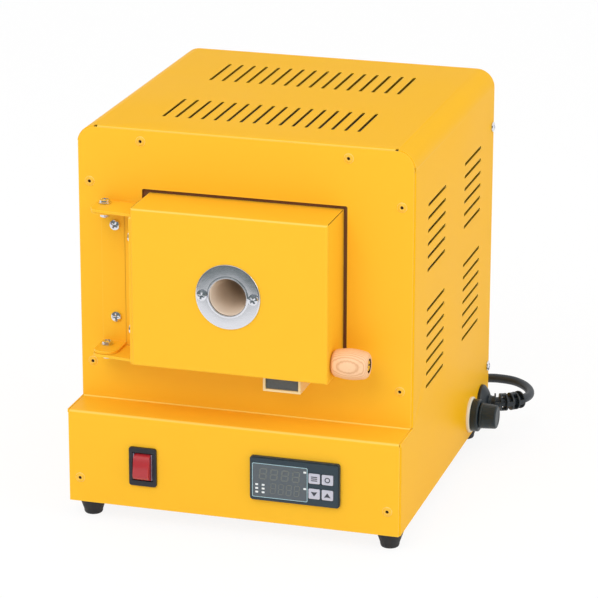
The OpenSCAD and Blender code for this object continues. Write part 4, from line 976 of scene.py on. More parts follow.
@dataclass
class Casing:
    """Cover, front sheets, rear panel, bottom plate, feet and their fasteners."""

    shop: Workshop
    hardware: Hardware
    side_x: float = 135.0
    case_top: float = 312.0
    ledge_z: float = 90.0
    case_z: float = 14.0
    base_y: float = -34.0
    case_d: float = 260.0
    sheet: float = 1.2
    foot_x: float = 121.7
    foot_shift: float = 1.8
    foot_ys: tuple[float, float] = (-19.0, 228.0)
    rivet_in: float = 10.0
    rivet_x: float = 83.0
    bead_half: float = 133.5
    leaf_x: float = -103.9
    leaf_screw_zs: tuple[float, float] = (159.6, 234.5)

    def build(self) -> None:
        """Dress the sheets and make the rivets, screws and feet."""
        self.shop.refined("outer_cover", FINISH.lined_paint, bevel=0.22)
        self.shop.refine_all(FINISH.paint, 0.22, "front_panel", "base_front", "rear_panel", "bottom_plate")
        # A thin fillet along the panel's foot, in paler paint: a painted highlight line.
        bead = flat_polygon(np.array([(-0.8, 0.02), (0.02, 0.02), (0.02, 0.9)]), 2 * self.bead_half)
        self.shop.add("Panel_foot_bead", bead.placed(Facing.RIGHT, (-self.bead_half, 0.0, self.ledge_z)),
                      FINISH.bead_paint, "front_panel")
        self._rivets()
        self._screws()
        self._feet()

    def rivet_places(self) -> list[tuple[float, float, float]]:
        """List the rivets' seats as x, y and z."""
        side, top = self.side_x - self.rivet_in, self.case_top
        halves = [(self.rivet_x, 0.0, top - 9.5), (side, 0.0, top - 44.5), (side, 0.0, self.ledge_z + 30),
                  (side, self.base_y, self.case_z + 20)]
        return [(s * x, y, z) for x, y, z in halves for s in (-1, 1)]

    def _rivets(self) -> None:
        """Make the painted rivets and the mandrel ends in them."""
        places = self.rivet_places()
        rivets = joined(self.hardware.rivet(2 * self.sheet).placed(Facing.FRONT, p) for p in places)
        self.shop.stand_in("Rivets", rivets, FINISH.rivet_paint, "pop_rivets")
        # The mandrel ends are dark: painted shade of the rivets' holes.
        stubs = joined(self.hardware.stub().placed(Facing.FRONT, p) for p in places)
        self.shop.add("Rivet_mandrels", stubs, FINISH.dark_steel, "pop_rivets")

    def _screws(self) -> None:
        """Make the screws of the rear panel, of the case's hinge bracket and of the feet."""
        screw = self.hardware.pan_screw
        shells = [screw(8, 20 + 33 * i).placed(facing, (s * self.side_x, self.case_d - 6, z))
                  for i, z in enumerate((self.case_z + 42, self.case_top - 47))
                  for s, facing in ((1, Facing.RIGHT), (-1, Facing.LEFT))]
        shells += [screw(6, 12 + 50 * i).placed(Facing.FRONT, (self.leaf_x, -2.0, z))
                   for i, z in enumerate(self.leaf_screw_zs)]
        shells += [screw(10, 25 * i).placed(Facing.DOWN, (x, y, self.case_z - 5))
                   for i, (x, y) in enumerate(self._foot_places())]
        self.shop.stand_in("Sheet_screws_fine", joined(shells), FINISH.screw, "case_screws")

    def _foot_places(self) -> list[tuple[float, float]]:
        """List the feet's centres."""
        return [(self.foot_shift + s * self.foot_x, y) for s in (-1, 1) for y in self.foot_ys]

    def _feet(self) -> None:
        """Make the rubber feet: a cone that widens upwards, a quarter ellipse round its sole, and a well."""
        high, bore, well, deep, low = self.case_z, 2.05, 4.65, 10.0, 3.2
        turn = np.linspace(0.0, np.pi / 2, 8)
        side = softened([(bore, high, 0), (11.3, high, 0.5), (7.6, low, 0)])
        edge = np.column_stack([6.3 + 1.3 * np.cos(turn), low - low * np.sin(turn)])[1:]
        profile = np.vstack([side, edge, [(well, 0.0), (well, deep), (bore, deep)]])
        feet = joined(revolved(profile, 64, closed=True).moved(x, y, 0) for x, y in self._foot_places())
        self.shop.stand_in("Rubber_feet_fine", feet, FINISH.rubber, "rubber_feet")


@dataclass
class Chamber:
    """Insulation, heater plates, wires, hearth, thermocouple and the sheet box round them."""

    shop: Workshop
    cavity_y: float = 23.0
    cavity_back: float = 161.0
    shell_back: float = 204.0
    mid_z: float = 198.6
    chamber_w: float = 110.0
    chamber_h: float = 80.0
    element_d: float = 4.4
    runs: int = 6
    wire_r: float = 0.45
    wire_lead: float = 2.6

    def build(self) -> None:
        """Dress the boards and plates, and wind the heating wires."""
        refine_all = self.shop.refine_all
        refine_all(FINISH.board, 0.6, "insulation_roof", "insulation_floor", "insulation_left", "insulation_right",
                   "insulation_rear")
        # The collar is coloured dark: painted shade in the gap round the door.
        refine_all(FINISH.dark_board, 1.0, "mouth_collar")
        refine_all(FINISH.refractory, 0.3, "heater_plate_left", "heater_plate_right")
        refine_all(FINISH.refractory, 0.9, "hearth_plate")
        refine_all(FINISH.sight_ceramic, 0.4, "thermocouple")
        refine_all(FINISH.inner_steel, 0.2, "chamber_shell", "chamber_supports")
        for side_name, side in (("left", -1), ("right", 1)):
            self._element(side_name, side)

    def _element(self, side_name: str, side: int) -> None:
        """Wind the heating wire of one side, -1 or 1: a helix carried along the to-and-fro line of its grooves."""
        edge_z, groove, rim, end_in, tail = 14.0, self.element_d + 1.0, 0.6, 8, 12
        pitch = (self.chamber_h - edge_z) / (self.runs - 1)
        x = self.chamber_w / 2 + groove / 2 + rim
        front, back = self.cavity_y + pitch / 2 + end_in, self.cavity_back - pitch / 2 - end_in
        tail_y, reach = self.shell_back + tail, pitch * (self.runs - 1) / 2
        turn = np.linspace(0.0, np.pi, 13)
        line: list[tuple[float, float]] = [(tail_y, -reach)]
        for i in range(self.runs - 1):
            z0 = (i - (self.runs - 1) / 2) * pitch
            y, sign = (front, -1) if i % 2 == 0 else (back, 1)
            line += [(y + sign * math.sin(t) * pitch / 2, z0 + pitch / 2 - math.cos(t) * pitch / 2) for t in turn]
        line.append((tail_y, reach))
        core = np.array([(side * x, y, z + self.mid_z) for y, z in line])
        self.shop.stand_in("Heating_wire_" + side_name, self._coiled(evened(core, 0.35)), FINISH.element,
                           "heating_element_" + side_name, sharp=80)

    def _coiled(self, core: Array) -> Shell:
        """Wind a wire round an evenly spaced line: at length s it sits radius r away, at angle 2 pi s / lead."""
        across = np.tile([1.0, 0.0, 0.0], (len(core), 1))
        other = np.cross(headings(core), across)
        angle = 2 * np.pi * (np.arange(len(core)) * np.linalg.norm(core[1] - core[0])) / self.wire_lead
        radius = self.element_d / 2 - self.wire_r
        helix = core + radius * (np.cos(angle)[:, None] * across + np.sin(angle)[:, None] * other)
        return swept(helix, circle(self.wire_r, 5))


@dataclass
class Door:
    """Door box, its filling, the sight hole, the grip, and both hinge brackets with their bolts."""

    shop: Workshop
    hardware: Hardware
    mid_z: float = 198.6
    door_front: float = -43.6
    door_left: float = -77.0
    door_right: float = 79.0
    door_bottom: float = 135.5
    door_top: float = 261.7
    shift: float = 1.0
    ring_d: float = 51.6
    ring_t: float = 1.5
    sight_d: float = 29.0
    grip_d: float = 23.9
    grip_l: float = 29.0
    hinge_x: float = -108.5
    hinge_y: float = -11.5
    leaf: tuple[float, float, float, float] = (-96.3, -84.0, 137.3, 252.1)
    bolt_zs: tuple[float, float] = (255.4, 140.2)
    nut_zs: tuple[float, float] = (243.55, 128.35)
    bracket_t: float = 2.0
    bracket_screw_y: float = -35.5
    bracket_screw_zs: tuple[float, float] = (162.7, 237.1)
    ring_screw_r: float = 20.4

    def build(self) -> None:
        """Dress and make every piece of the door and hinge."""
        refine_all = self.shop.refine_all
        refine_all(FINISH.paint, 0.1, "door_pan")
        refine_all(FINISH.paint, 0.3, "door_hinge_bracket", "case_hinge_bracket")
        refine_all(FINISH.board, 0.4, "door_insulation")
        refine_all(FINISH.board, 1.0, "door_plug")
        refine_all(FINISH.inner_steel, 0.2, "door_back_frame")
        refine_all(FINISH.sight_ceramic, 0.5, "sight_tube")
        self._seams()
        self._ring()
        self._screws()
        self._bolts()
        self._grip()

    def _seams(self) -> None:
        """Fill the pan's open corners, dark at the top and painted below, and widen the case bracket's leaf."""
        strip = rectangle(0.12, 2.0, -0.23, 0.23)
        for name, finish, z, sz in (("Pan_corner_seams", FINISH.seam, self.door_top, -1),
                                    ("Pan_corner_fills", FINISH.paint, self.door_bottom, 1)):
            strips = []
            for x, sx in ((self.door_left, 1), (self.door_right, -1)):
                along, across = np.array([sx, sz]) / math.sqrt(2), np.array([-sz, sx]) / math.sqrt(2)
                corners = [along * a + across * b + (x, z) for a, b in strip]
                strips.append(flat_polygon(np.array(corners), 40.4).placed(Facing.FRONT, (0, -0.9, 0)))
            self.shop.add(name, joined(strips), finish, "door_pan")
        leaf = flat_polygon(rectangle(*self.leaf), self.bracket_t)
        self.shop.add("Hinge_leaf_edge", leaf.turned(TURNS[Facing.FRONT]), FINISH.paint, "case_hinge_bracket")

    def _ring(self) -> None:
        """Make the sight ring: a stamped washer, a little crowned, with a rolled inner rim and screw holes."""
        outer, inner, t = self.ring_d / 2, self.sight_d / 2 + 0.2, self.ring_t
        r = np.linspace(outer - 0.45, inner + 1.3, 14)
        crown = t - 0.08 - 0.06 * ((r - 20.0) / 6.0) ** 2
        face = list(zip(r, crown, np.zeros(14)))
        ring = ring_of([(outer, 0.0, 0.1), (outer, 0.9, 0.3), *face, (inner + 0.95, t + 0.3, 0.25),
                        (inner + 0.25, t + 0.3, 0.25), (inner, t - 0.2, 0.2), (inner, 0.0, 0.1)], 160)
        self.shop.stand_in("Sight_ring_fine", ring.placed(Facing.FRONT, (self.shift, self.door_front, self.mid_z)),
                           FINISH.zinc, "sight_ring", sharp=50)

    def _screws(self) -> None:
        """Make the ring's screws and those of the door's bracket."""
        screw = self.hardware.pan_screw
        shells = [screw(8, 15 + 25 * s).placed(Facing.FRONT, (self.shift + s * self.ring_screw_r,
                                                              self.door_front - self.ring_t, self.mid_z))
                  for s in (-1, 1)]
        shells += [screw(8, 30 * i).placed(Facing.LEFT, (self.door_left - self.bracket_t, self.bracket_screw_y, z))
                   for i, z in enumerate(self.bracket_screw_zs)]
        self.shop.stand_in("Door_screws_fine", joined(shells), FINISH.screw, "door_screws")

    def _bolts(self) -> None:
        """Make the two hinge bolts and their double nuts."""
        bolts = [joined([self.hardware.pan_screw(head - nut + 0.8, spin), self.hardware.washer()]).moved(
            self.hinge_x, self.hinge_y, head) for head, nut, spin in zip(self.bolt_zs, self.nut_zs, (25, 70))]
        self.shop.stand_in("Hinge_bolts_fine", joined(bolts), FINISH.screw, "hinge_bolts")
        nuts = [self.hardware.nut().spun(17 * i + 8).moved(self.hinge_x, self.hinge_y, z + i * 3.35)
                for z in self.nut_zs for i in (0, 1)]
        self.shop.stand_in("Hinge_nuts_fine", joined(nuts), FINISH.screw, "hinge_nuts")

    def _grip(self) -> None:
        """Turn the wooden grip and make its bolt: the grip's radius is a shallow arc with rounded ends."""
        at = (self.door_right, -27.0, self.door_bottom + 13.0)
        length, crown, end, sunk, bore_r, well_r, rows = self.grip_l, 44.0, 4.5, 3.3, 2.1, 5.7, 24
        floor = length - sunk
        z = np.linspace(end, length - end, rows)
        barrel = self.grip_d / 2 - crown + np.sqrt(crown**2 - (z - length / 2) ** 2)
        turn = np.linspace(0.0, np.pi / 2, 9)
        low = np.column_stack([barrel[0] - end + end * np.sin(turn), end - end * np.cos(turn)])
        high = np.column_stack([barrel[0] - end + end * np.cos(turn), length - end + end * np.sin(turn)])
        well = softened([(well_r + 0.25, length, 0), (well_r, length - 0.5, 0.2), (well_r, floor, 0.3),
                         (bore_r, floor, 0)])
        grooved = barrel - 0.09 * (np.arange(rows) % 3 == 1)
        profile = np.vstack([[[bore_r, 0.0]], low, np.column_stack([grooved, z]), high, well])
        wood = replace(FINISH.wood, centre=((at[1] - CASE_SHIFT[1]) * MM + 0.05, at[2] * MM - 0.006))
        self.shop.stand_in("Wooden_grip_fine", revolved(profile, 96, closed=True).placed(Facing.RIGHT, at), wood,
                           "wooden_grip", sharp=50)
        # A dark sleeve in the grip's end well: painted shade of the recess.
        wall = revolved(rectangle(well_r - 0.2, well_r - 0.01, floor + 0.05, length - 0.35), 64, closed=True)
        self.shop.add("Grip_well_lining", wall.placed(Facing.RIGHT, at), FINISH.seam, "wooden_grip")
        head = revolved(softened([(0, 2.6, 0), (3.6, 2.9, 0.8), (4.8, 2.2, 0.6), (4.8, 0.0, 0), (0, 0.0, 0)]), 64)
        slot_deep, slot_half = 1.1, 0.62
        head.points[:, 2] -= slot_deep * (np.abs(head.points[:, 1]) < slot_half) * (head.points[:, 2] > 2.0)
        shaft = shank_of(self.hardware.screw_d / 2, 0.1, -5.8 - length)
        bolt = joined([head, shaft, self.hardware.nut().moved(z=sunk - length - 4.4)])
        self.shop.stand_in("Grip_bolt_fine", bolt.moved(z=floor).placed(Facing.RIGHT, at), FINISH.screw, "grip_bolt")


@dataclass
class Catch:
    """Magnet catch under the door."""

    shop: Workshop

    def build(self) -> None:
        """Dress the holder and the magnet."""
        self.shop.refined("catch_bracket", FINISH.catch_paint, bevel=0.35)
        self.shop.refined("catch_magnet", FINISH.ferrite, bevel=0.5)


@dataclass
class RockerSwitch:
    """Rocker switch in the base's front."""

    shop: Workshop
    centre_x: float = -72.4
    centre_z: float = 49.1
    front_y: float = -34.0
    rocker_w: float = 13.2
    curve_r: float = 11.0
    tilt: float = 9.0

    def build(self) -> None:
        """Make the rocker, dress the housing, and line the well's sides beside the rocker."""
        self.shop.refined("switch_housing", FINISH.switch_black, bevel=0.5, segments=3)
        self._rocker()
        strip = rounded_block(0.9, 21.6, 0.2, np.array([(0, -4.0), (0, 1.85)]), steps=3)
        for name, side in (("left", -1), ("right", 1)):
            at = (self.centre_x + side * 7.4, self.front_y, self.centre_z)
            self.shop.add("Switch_well_lining_" + name, strip.placed(Facing.FRONT, at), FINISH.lilac, "switch_housing")

    def _rocker(self) -> None:
        """Make the rocker: a bar whose section is a circle of radius curve_r cut flat in front, on two trunnions."""
        half, pin_r, pin_l = self.rocker_w / 2, 1.5, 7.6
        turn = np.radians(np.linspace(46.6, 100.0, 10))[1:]
        arc = np.column_stack([1.0 - self.curve_r * np.cos(turn), self.curve_r * np.sin(turn)])
        upper = np.vstack([(-6.75, 7.2), arc])
        lower = (upper * np.array([1, -1]))[::-1]
        bar = flat_polygon(np.vstack([upper, lower]), 2 * half).moved(z=-half)
        pin = revolved(rectangle(0, pin_r, -pin_l, pin_l), 24)
        c, s = math.cos(math.radians(-self.tilt)), math.sin(math.radians(-self.tilt))
        tilted = joined([bar, pin]).turned(TURNS[Facing.RIGHT]).turned(np.array([[1, 0, 0], [0, c, -s], [0, s, c]]))
        self.shop.stand_in("Switch_rocker_fine", tilted.moved(self.centre_x, self.front_y, self.centre_z),
                           FINISH.rocker_red, "switch_rocker", bevel=0.6)


@dataclass
class Controller:
    """Temperature controller: bezel, window, unlit digits, marks and keys."""

    shop: Workshop
    centre_x: float = 51.7
    centre_z: float = 51.2
    bezel_y: float = -38.0
    thin: float = 0.05

    def build(self) -> None:
        """Dress the controller's nodes and lay its prints on them."""
        self.shop.refined("controller_case", FINISH.controller_black, bevel=0.35, miter="MITER_SHARP")
        self.shop.refined("controller_clamp", FINISH.controller_black, bevel=0.3)
        self.shop.refined("controller_window", FINISH.window, bevel=0.15)
        for node in ("key_upper_left", "key_upper_right", "key_down", "key_up"):
            self.shop.refined(node, FINISH.key, bevel=0.45, segments=3)
        self._frame_line()
        self._digits()
        self._marks()
        self._key_marks()

    def _lay(self, name: str, shell: Shell, finish: Finish, node: str = "controller_window",
             sunk: float = 0.3) -> None:
        """Lay a flat print on a node, sunk mm behind the bezel; it is drawn about the controller's middle."""
        at = (self.centre_x, self.bezel_y + sunk, self.centre_z)
        self.shop.add(name, shell.placed(Facing.FRONT, at), finish, node)

    def _centred(self, shell: Shell, x: float, z: float) -> Shell:
        """Move a print to a point of the case frame, so that _lay puts it there."""
        return shell.moved(x - self.centre_x, z - self.centre_z)

    def _hoop(self, width: float, height: float, radius: float, line: float, steps: int = 8) -> Shell:
        """Draw a flat frame with rounded corners and sides as wide as line."""
        levels = np.array([(0, 0), (0, self.thin), (line, self.thin), (line, 0)])
        return rounded_block(width, height, radius, levels, closed=True, steps=steps)

    def _frame_line(self) -> None:
        """Print the pale line round the display."""
        x0, x1 = 17.75 - self.centre_x, 62.35 - self.centre_x
        z0, z1 = 35.95 - self.centre_z, 64.05 - self.centre_z
        frame = self._hoop(x1 - x0, z1 - z0, 1.2, 0.45, steps=5)
        self._lay("Display_frame_line", frame.moved((x0 + x1) / 2, (z0 + z1) / 2), FINISH.print_blue)

    def _digit(self, width: float, height: float) -> Shell:
        """Draw the seven bars of one digit about its middle, each a long hexagon, leaning a little to the right."""
        bar, gap = width * 0.17, 0.12
        half_w, half_h = width / 2 - bar / 2, height / 2 - bar / 2
        spots = [((0, half_h), half_w, False), ((0, 0), half_w, False), ((0, -half_h), half_w, False)]
        spots += [((sx * half_w, sz * half_h / 2), half_h / 2, True) for sx in (-1, 1) for sz in (-1, 1)]
        shells = []
        for (cx, cz), reach, upright in spots:
            long, half = reach - gap, bar / 2
            outline = np.array([(-long, 0), (-long + half, -half), (long - half, -half), (long, 0),
                                (long - half, half), (-long + half, half)])
            if upright:
                outline = outline[:, ::-1] * np.array([-1, 1])
            outline = outline + np.array([cx, cz])
            outline[:, 0] += outline[:, 1] * 0.1
            shells.append(flat_polygon(outline, self.thin))
        return joined(shells)

    def _digits(self) -> None:
        """Lay the two rows of unlit digits on the window."""
        shells: list[Shell] = []
        for x0, x1, z0, z1 in ((22.2, 57.5, 50.9, 60.3), (31.5, 56.9, 39.5, 48.6)):
            pitch = (x1 - x0) / 4
            for i in range(4):
                digit = self._digit(pitch * 0.72, z1 - z0)
                shells.append(self._centred(digit, x0 + (i + 0.5) * pitch, (z0 + z1) / 2))
        self._lay("Display_unlit_digits", joined(shells), FINISH.segment)

    def _marks(self) -> None:
        """Lay the small white status marks beside the digits."""
        spots = [(21.5 + 5.2 * i, 46.4 - 3.1 * j) for i in (0, 1) for j in (0, 1, 2)] + [(60.2, 60.3), (60.2, 46.7)]
        mark = flat_polygon(rounded_outline(2.3, 1.5, 0.3, 3), self.thin)
        self._lay("Display_status_marks", joined(self._centred(mark, x, z) for x, z in spots), FINISH.print_white)

    def _key_marks(self) -> None:
        """Print an arrowhead on each lower key and a plain sign on each upper one."""
        down = np.array([(0, -1.9), (2.7, 1.9), (0, 1.5), (-2.7, 1.9)])
        line = flat_polygon(rounded_outline(5.0, 0.8, 0.3, 3), self.thin)
        for node, x, z, sign in (
                ("key_upper_left", 16.1, 4.85, joined(line.moved(y=step) for step in (-1.5, 0, 1.5))),
                ("key_upper_right", 26.7, 4.85, self._hoop(4.4, 4.4, 2.2, 0.8)),
                ("key_down", 16.1, -7.65, flat_polygon(down, self.thin)),
                ("key_up", 26.7, -7.65, flat_polygon(-down, self.thin))):
            self._lay(node + "_sign", sign.moved(x, z), FINISH.key_mark, node, sunk=-0.3)


@dataclass
class Works:
    """Relay and terminal block on the bottom plate."""

    shop: Workshop

    def build(self) -> None:
        """Dress the two blocks."""
        self.shop.refined("solid_state_relay", FINISH.relay, bevel=0.5)
        self.shop.refined("terminal_block", FINISH.cream, bevel=0.4)


@dataclass
class FuseHolder:
    """Fuse holder on the right side: cream ring, flange, carrier and cap, a little smaller than the CAD's.

    The photograph's outline of the ring, flange and cap asks for these sizes; they stay inside the CAD solids.
    """

    shop: Workshop
    side_x: float = 135.0
    y: float = 195.0
    z: float = 33.0
    ring_t: float = 2.5
    ring_r: float = 15.0
    flange_t: float = 6.4
    flange_r: float = 13.5
    body_r: float = 9.0
    cap_d: float = 21.4
    cap_l: float = 14.2
    cap_bore_r: float = 6.1

    def build(self) -> None:
        """Make the turned pieces of the holder."""
        at = (self.side_x, self.y, self.z)
        t, inner, bore_r = self.ring_t, self.body_r + 0.3, 6.4
        ring = ring_of([(inner, 0, 0), (self.ring_r, 0, 0.2), (self.ring_r, t - 0.5, 0.6), (self.ring_r - 1.4, t, 0.3),
                        (inner, t, 0)])
        self.shop.stand_in("Fuse_ring_fine", ring.placed(Facing.RIGHT, at), FINISH.cream, "fuse_ring")
        top = t + self.flange_t
        flange = ring_of([(bore_r, -32, 0), (self.body_r, -34, 0.4), (self.body_r, t, 0), (self.flange_r, t, 0.3),
                          (self.flange_r, top - 0.9, 0.5), (self.flange_r - 0.9, top, 0.5), (bore_r, top, 0.3)])
        nut = revolved(rectangle(self.body_r, 11.0, -6.4, -1.4), 6, closed=True)
        self.shop.stand_in("Fuse_body_fine", joined([flange, nut]).placed(Facing.RIGHT, at), FINISH.bakelite,
                           "fuse_body")
        self.shop.refined("fuse_carrier", FINISH.bakelite, bevel=0.2)
        self.shop.refined("fuse_link", FINISH.glass, bevel=0.2)
        self._cap((self.side_x + top + 0.4, self.y, self.z))

    def _cap(self, at: tuple[float, float, float]) -> None:
        """Turn the cap on its inner face's middle: a rim, then a barrel that narrows, with thirty shallow flutes."""
        r, length, bore = self.cap_d / 2, self.cap_l, self.cap_bore_r
        outside = softened([(bore, 0.0, 0.2), (r - 0.9, 0.0, 0.3), (r, 0.5, 0.3), (r, 1.7, 0.3), (r - 0.5, 2.1, 0.3),
                            (r - 0.2, 2.6, 0.3), (r - 0.9, length - 1.0, 0.6), (r - 1.9, length, 0.6),
                            (r - 4.0, length, 0.4), (r - 4.4, length - 0.3, 0.2), (0, length - 0.3, 0)], steps=6)
        profile = np.vstack([[(0.0, 12.5), (bore, 12.5)], outside])
        z = profile[:, 1:]
        deep = np.clip((z - 2.8) / 0.8, 0, 1) * np.clip((length - 0.9 - z) / 1.0, 0, 1)

        def fluted(radii: Array, angle: Array) -> Array:
            """Take the flutes off the outer radii, between the rim and the end."""
            return radii - 0.14 * (1 + np.cos(30 * angle)) * deep * (radii > r - 2.0)

        self.shop.stand_in("Fuse_cap_fine", revolved(profile, 192, radius=fluted).placed(Facing.RIGHT, at),
                           FINISH.bakelite, "fuse_cap", sharp=45)


@dataclass
class MainsLead:
    """Bushing with its ribbed tail, the lead, its coil and tie behind the furnace, and the plug."""

    shop: Workshop
    side_x: float = 135.0
    bushing_y: float = 232.0
    z: float = 32.0
    lead_d: float = 7.6
    bend_r: float = 29.0
    neck_x: float = 141.5
    ring_first: float = 12.0
    ring_step: float = 8.8
    rings: int = 6
    ring_r: float = 7.5
    ring_t: float = 1.4
    coil: tuple[float, float] = (40.0, 326.0)
    turn_r: float = 46.0
    coil_low: float = 4.6
    strap: float = 0.8
    route: tuple[tuple[float, float, float], ...] = (
        (167.3, 247.8, 31.6), (169.1, 252, 31.2), (170.5, 261, 30.6), (169.1, 270, 30.6), (165, 278, 31),
        (158.5, 284.5, 31.5), (150.5, 288.6, 32), (141.5, 290, 32.2), (132, 290.2, 32), (122, 289.6, 30.8),
        (112, 288, 28.2), (102, 285.6, 24.4), (92, 282.8, 20), (82, 279.8, 15.6), (72, 277, 11.4),
        (62, 274.8, 7.8), (52, 273.2, 5.6))
    far_route: tuple[tuple[float, float, float], ...] = (
        (28, 272.4, 12.4), (16, 272.5, 12.2), (4, 272.8, 11.6), (-9, 273.6, 10.6), (-22, 275.2, 9.6),
        (-34, 277.4, 9), (-45, 279.2, 9), (-54, 280, 9), (-61.8, 280, 9))

    def on_bend(self, degrees: Array | float) -> Array:
        """Give points of the tail's bend: a level circle of radius bend_r that leaves the neck along X."""
        a = np.radians(np.atleast_1d(degrees))
        return np.column_stack([self.neck_x + self.bend_r * np.sin(a), self.bushing_y + self.bend_r * (1 - np.cos(a)),
                                np.full(len(a), self.z)])

    def coil_path(self) -> Array:
        """Wind the coil: three turns inwards on the bench, then three outwards on top of them.

        Angle falls from the point nearest the furnace. The radius is steady for most of a turn and steps by one
        lead's diameter between 240 and 330 degrees of it; the height steps by one diameter in the middle.
        """
        turn = np.arange(0.0, 6.0, 1.0 / 72.0)
        whole, part = np.floor(turn), turn - np.floor(turn)
        ease = np.clip((part - 240 / 360) / (90 / 360), 0.0, 1.0)
        ease = ease * ease * (3 - 2 * ease)
        step = np.where(whole == 2, whole, whole + ease)
        step = np.where(whole == 5, whole, step)
        shrink = np.where(step <= 2, step, np.where(step < 3, 2.0, 5.0 - step))
        radius = self.turn_r + self.lead_d - shrink * self.lead_d
        height = self.coil_low + self.lead_d * np.where(whole < 2, 0.0, np.where(whole == 2, ease, 1.0))
        angle = np.radians(-90.0) - 2 * np.pi * turn
        return np.column_stack([self.coil[0] + radius * np.cos(angle), self.coil[1] + radius * np.sin(angle), height])

    def build(self) -> None:
        bend = self.on_bend(np.arange(4.0, 55.0, 10.0))
        whole = np.vstack([bend, np.array(self.route), self.coil_path(), np.array(self.far_route)])
        path = smooth_path(whole, 2.6)
        ring = circle(self.lead_d / 2, 20)
        cord = self.shop.add("Mains_lead", swept(path, ring), FINISH.jacket, "power_cord", ["power_cord", "cord_coil"],
                             Edges(sharp=80))
        tie = self._tie()
        bushing = self._bushing()
        plug, blades = self._plug()

    def _bushing(self) -> Object:
        """Make the bushing: a dome on the case, and a bent tail of rings joined by bars at alternate sides."""
        bore = self.lead_d / 2 + 0.15
        rim, dome_r, sunk, neck, tail_r, inside, outside = 14.0, 18.0, 9.0, 7.2, 5.2, -8.0, 10.0
        over = np.linspace(rim, 6.0, 14)
        dome = np.column_stack([over, np.sqrt(dome_r**2 - over**2) - sunk])
        profile = np.vstack([[(neck, inside), (neck, 0.0), (13.9, 0.0), (rim, 0.2)], dome,
                             [(5.7, 8.7), (tail_r, outside), (bore, outside), (bore, inside)]])
        cap = revolved(profile, 96, closed=True).placed(Facing.RIGHT, (self.side_x, self.bushing_y, self.z))
        core = swept(self.on_bend(np.linspace(0.0, self.ring_first, 6)), circle(tail_r, 40))
        half = self.ring_t / 2
        section = softened([(bore, -half, 0), (self.ring_r, -half, 0.3), (self.ring_r, half, 0.3), (bore, half, 0)],
                           steps=5, closed=True)
        ring = revolved(section, 64, closed=True)
        shells = [cap, core]
        shells += [self._across_bend(ring, self.ring_first + i * self.ring_step) for i in range(self.rings)]
        reach = self.bend_r * math.sin(math.radians(self.ring_step / 2))
        bar = rounded_block(2.0, 4.0, 0.4, np.array([(0.0, -reach), (0.0, reach)]), steps=4)
        for i in range(self.rings - 1):
            at = self.ring_first + (i + 0.5) * self.ring_step
            for way in (0.0, 180.0):
                placed = bar.moved(x=self.ring_r - 1.2).spun(way + (90.0 if i % 2 else 0.0))
                shells.append(self._across_bend(placed, at))
        return self.shop.stand_in("Bushing_fine", joined(shells), FINISH.bushing, "cord_bushing")

    def _across_bend(self, shell: Shell, degrees: float) -> Shell:
        """Place a shape on the bend, with its Z axis along the lead and its Y axis up."""
        centre, beyond = self.on_bend([degrees, degrees + 0.1])
        along = (beyond - centre) / np.linalg.norm(beyond - centre)
        return shell.turned(np.column_stack([np.cross(UPRIGHT, along), UPRIGHT, along])).moved(*centre)

    def _tie(self) -> Object:
        """Make the tie: a flat strap round both layers of the coil, at the side away from the furnace."""
        thin = self.strap - 0.05
        levels = np.array([(0, -4.0), (0, 4.0), (thin, 4.0), (thin, -4.0)])
        wide, high = 3 * self.lead_d + 0.8 + 2 * self.strap, 2 * self.lead_d + 0.1 + 2 * self.strap
        band = rounded_block(wide, high, 4.0, levels, closed=True, steps=10)
        band = band.turned(TURNS[Facing.RIGHT]).moved(self.coil[0], self.coil[1] + self.turn_r, high / 2)
        return self.shop.stand_in("Lead_tie_fine", band, FINISH.bushing, "cord_tie", bevel=0.15)

    def _plug(self) -> tuple[Object, Object]:
        """Refine the plug's body and its blades."""
        return (self.shop.refined("mains_plug", FINISH.bushing, bevel=1.2, sharp=40, segments=3),
                self.shop.refined("plug_blades", FINISH.brass, bevel=0.25))


